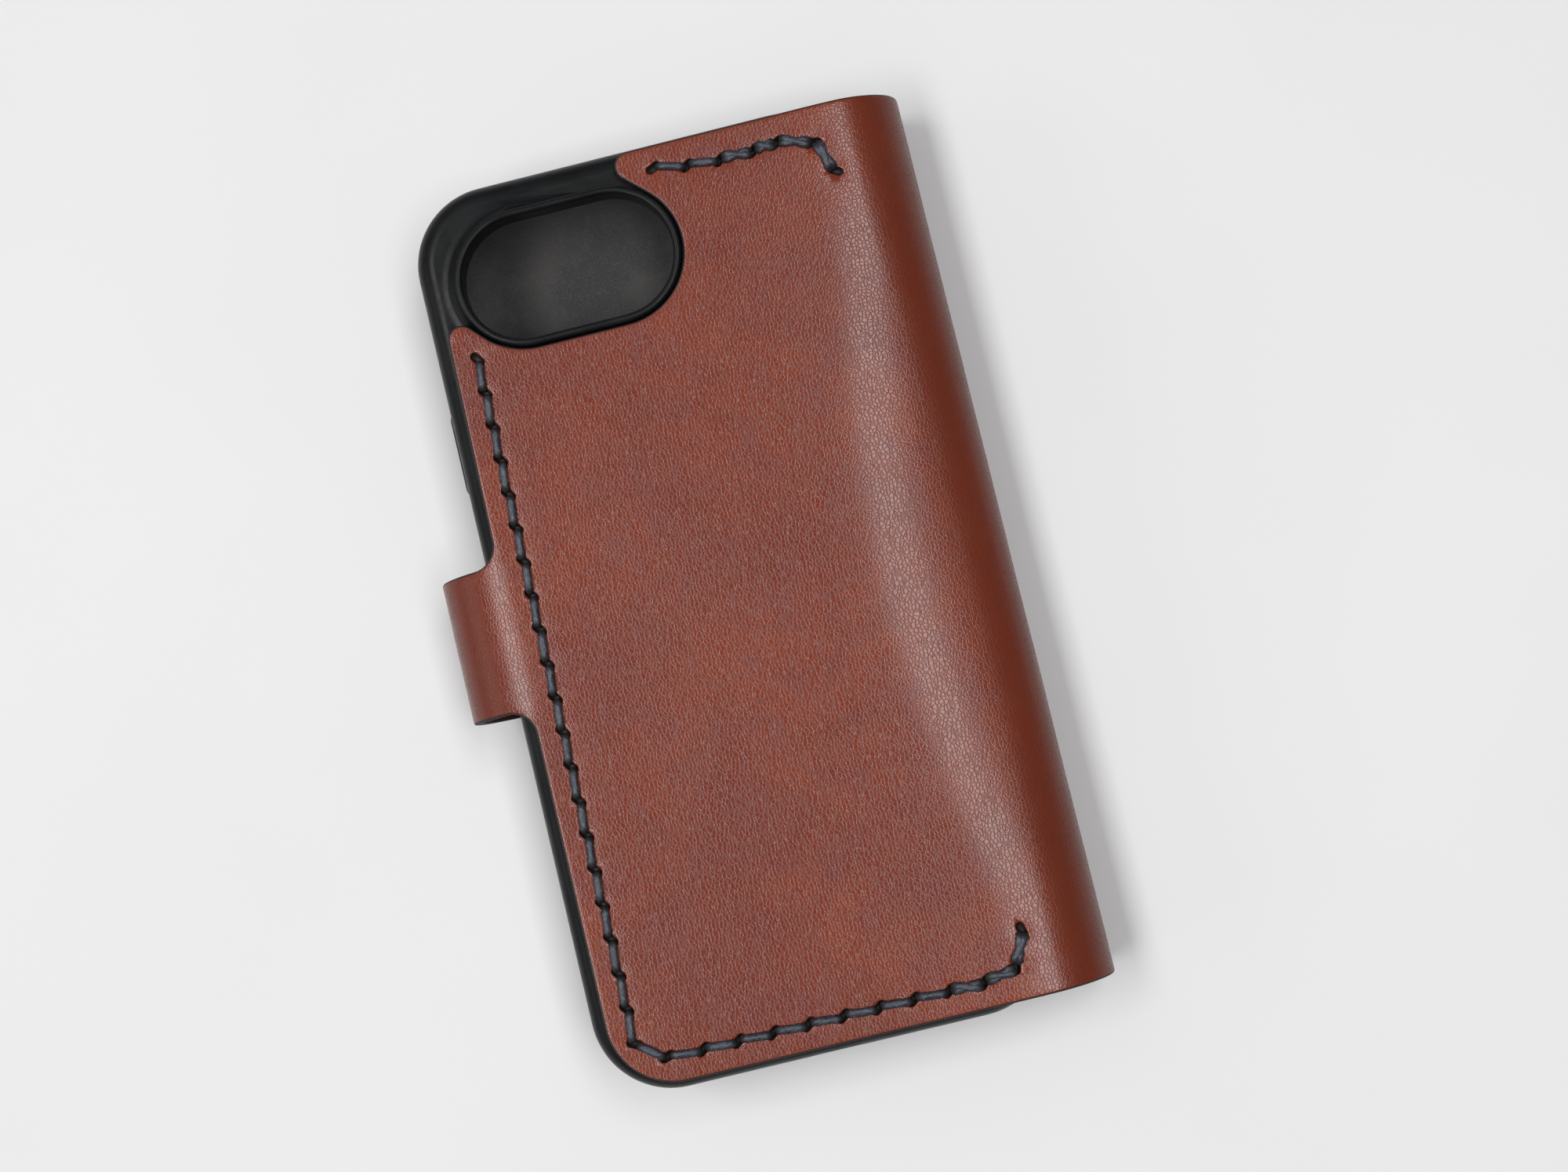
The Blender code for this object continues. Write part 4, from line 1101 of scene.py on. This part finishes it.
def make_snap():
    cap_low, cap_stands = HALF - RECESS + GAP, 0.6
    crown = [(5.0 * math.sin(a), HALF + 0.1 + (cap_stands - 0.1) * math.cos(a) ** 0.8)
             for a in (math.pi / 2 * i / 14 for i in range(1, 14))]
    cap = [(0, HALF + cap_stands)] + crown + [
        (5.0, HALF + 0.1), (4.95, cap_low + 0.1), (4.8, cap_low), (1.2, cap_low), (1.2, -HALF),
        (0, -HALF)]
    lathe("stud_cap", cap, TAB_SNAP_S, "tab_tip", "snap_cap")
    top, low = GAP - HALF, GAP - HALF - 1.0
    socket = [(1.8, top), (3.5, top), (3.6, top - 0.08), (3.6, low + 0.45), (3.5, low + 0.25),
              (3.1, low + 0.05), (2.9, low), (2.5, low + 0.02), (2.3, low + 0.15), (2.1, low + 0.12),
              (1.95, low + 0.02), (1.85, low + 0.1), (1.8, low + 0.3)]
    lathe("stud_socket", socket, TAB_SNAP_S, "tab_tip", "snap_socket", closed=True)
    base, face = HALF - RECESS + GAP, HALF + 0.2
    stud = [(0, base), (3.55, base), (3.6, base + 0.06), (3.6, face - 0.14), (3.45, face - 0.02),
            (3.3, face), (2.0, face), (1.7, face + 0.04), (1.42, face + 0.16), (1.3, face + 0.3),
            (1.4, face + 0.45), (1.38, face + 0.58), (1.2, face + 0.68), (0.8, face + 0.7),
            (0, face + 0.7)]
    lathe("stud_knob", stud, SNAP_S, "cover", "snap_stud")
    head = RECESS - HALF - GAP
    post = [(0, HALF - RECESS), (1.0, HALF - RECESS), (1.0, head), (3.5, head), (3.6, head - 0.08),
            (3.55, head - 0.2), (3.3, head - 0.28), (2.6, head - 0.3), (0, head - 0.3)]
    lathe("stud_post", post, SNAP_S, "cover", "snap_post")


# -------- floor, light and camera

FLOOR_TILT = math.radians(3.52)
FLOOR_CONTACT_X = SNAP_X + 3.0
CAMERA_DISTANCE = 345.0
CAMERA_TURN = (math.radians(-3.78), math.radians(-2.72), math.radians(13.79))
CAMERA_SHIFT = (9.25, 0.97)
CAMERA_LENS, SENSOR = 49.606, 36.0


def floor_frame():
    """The table under the case, which lies on its press stud and its spine."""
    return (Matrix.Translation((FLOOR_CONTACT_X * MM, 0, 0))
            @ Matrix.Rotation(-FLOOR_TILT, 4, "Y"))


def make_floor():
    look = Shading("pale_floor", 0.7, specular=0.2)
    look.set("Base Color", look.mix(look.noise(look.place(), 0.01, 3.0), FLOOR_DARK, FLOOR_PALE))
    mesh = bpy.data.meshes.new("floor")
    size = 3.0
    mesh.from_pydata([(-size, -size, 0), (size, -size, 0), (size, size, 0), (-size, size, 0)], [],
                     [(0, 1, 2, 3)])
    floor = linked("floor", mesh)
    mesh.materials.append(look.material)
    floor.matrix_world = floor_frame()


def softbox(name, lean_deg, azimuth_deg, distance, size, power):
    """A flat area light that faces the case, its long side as near to Y as its lean allows."""
    data = bpy.data.lights.new(name, "AREA")
    data.shape = "RECTANGLE"
    data.size, data.size_y = size
    data.energy = power
    light = linked(name, data)
    lean, azimuth = math.radians(lean_deg), math.radians(azimuth_deg)
    toward = Vector((math.sin(lean) * math.cos(azimuth), math.sin(lean) * math.sin(azimuth),
                     math.cos(lean)))
    across = Vector((0, 1, 0)).cross(toward).normalized()
    axes = Matrix((across, toward.cross(across), toward)).transposed()
    light.matrix_world = Matrix.Translation(toward * distance) @ axes.to_4x4()


def make_lights():
    softbox("right_window", 16, 0, 1.6, (0.42, 1.35), 15.5)
    softbox("left_window", 28, 180, 1.6, (0.45, 1.35), 18.5)
    softbox("low_window", 68, 180, 1.6, (0.5, 1.35), 3)
    softbox("far_fill", 46, 118, 1.8, (1.0, 1.0), 2)
    softbox("near_fill", 46, 242, 1.8, (1.0, 1.0), 1)
    world = bpy.data.worlds.new("studio")
    bpy.context.scene.world = world
    world.use_nodes = True
    background = world.node_tree.nodes["Background"]
    background.inputs["Color"].default_value = (0.93, 0.96, 1.0, 1)
    background.inputs["Strength"].default_value = 0.15


def make_camera():
    data = bpy.data.cameras.new("camera")
    data.sensor_width, data.lens = SENSOR, CAMERA_LENS
    data.clip_start, data.clip_end = 0.01, 10.0
    camera = linked("camera", data)
    turn_x, turn_y, turn_z = CAMERA_TURN
    seen = (Matrix.Translation((0, 0, -CAMERA_DISTANCE * MM)) @ Matrix.Rotation(turn_y, 4, "Y")
            @ Matrix.Rotation(turn_x, 4, "X")
            @ Matrix.Translation((-CAMERA_SHIFT[0] * MM, -CAMERA_SHIFT[1] * MM, 0))
            @ Matrix.Rotation(turn_z, 4, "Z")
            @ Matrix.Translation((0, 0, -(REAR_FACE + GAP) * MM)))
    camera.matrix_world = seen.inverted()
    bpy.context.scene.camera = camera


attach_leather(split_sheet(*make_sheet()))
make_thread("side_thread", SEAMS["side"], "rear_stitching_side", "case_back", doubled=(29, 30, 31))
make_thread("top_thread", SEAMS["top"], "rear_stitching_top", "case_back", doubled=(2, 3, 4, 5))
make_thread("cover_thread", SEAMS["cover"], "cover_stitching", "cover")
inner_panel("cover_lining_panel", inner_outline(), "cover_lining")
for number, top in enumerate(POCKET_TOPS, 1):
    inner_panel(f"card_pocket_panel_{number}", inner_outline(top), f"card_pocket_{number}")
make_shell()
make_buttons()
make_snap()
make_floor()
make_lights()
make_camera()
bpy.context.scene.view_settings.view_transform = "Standard"
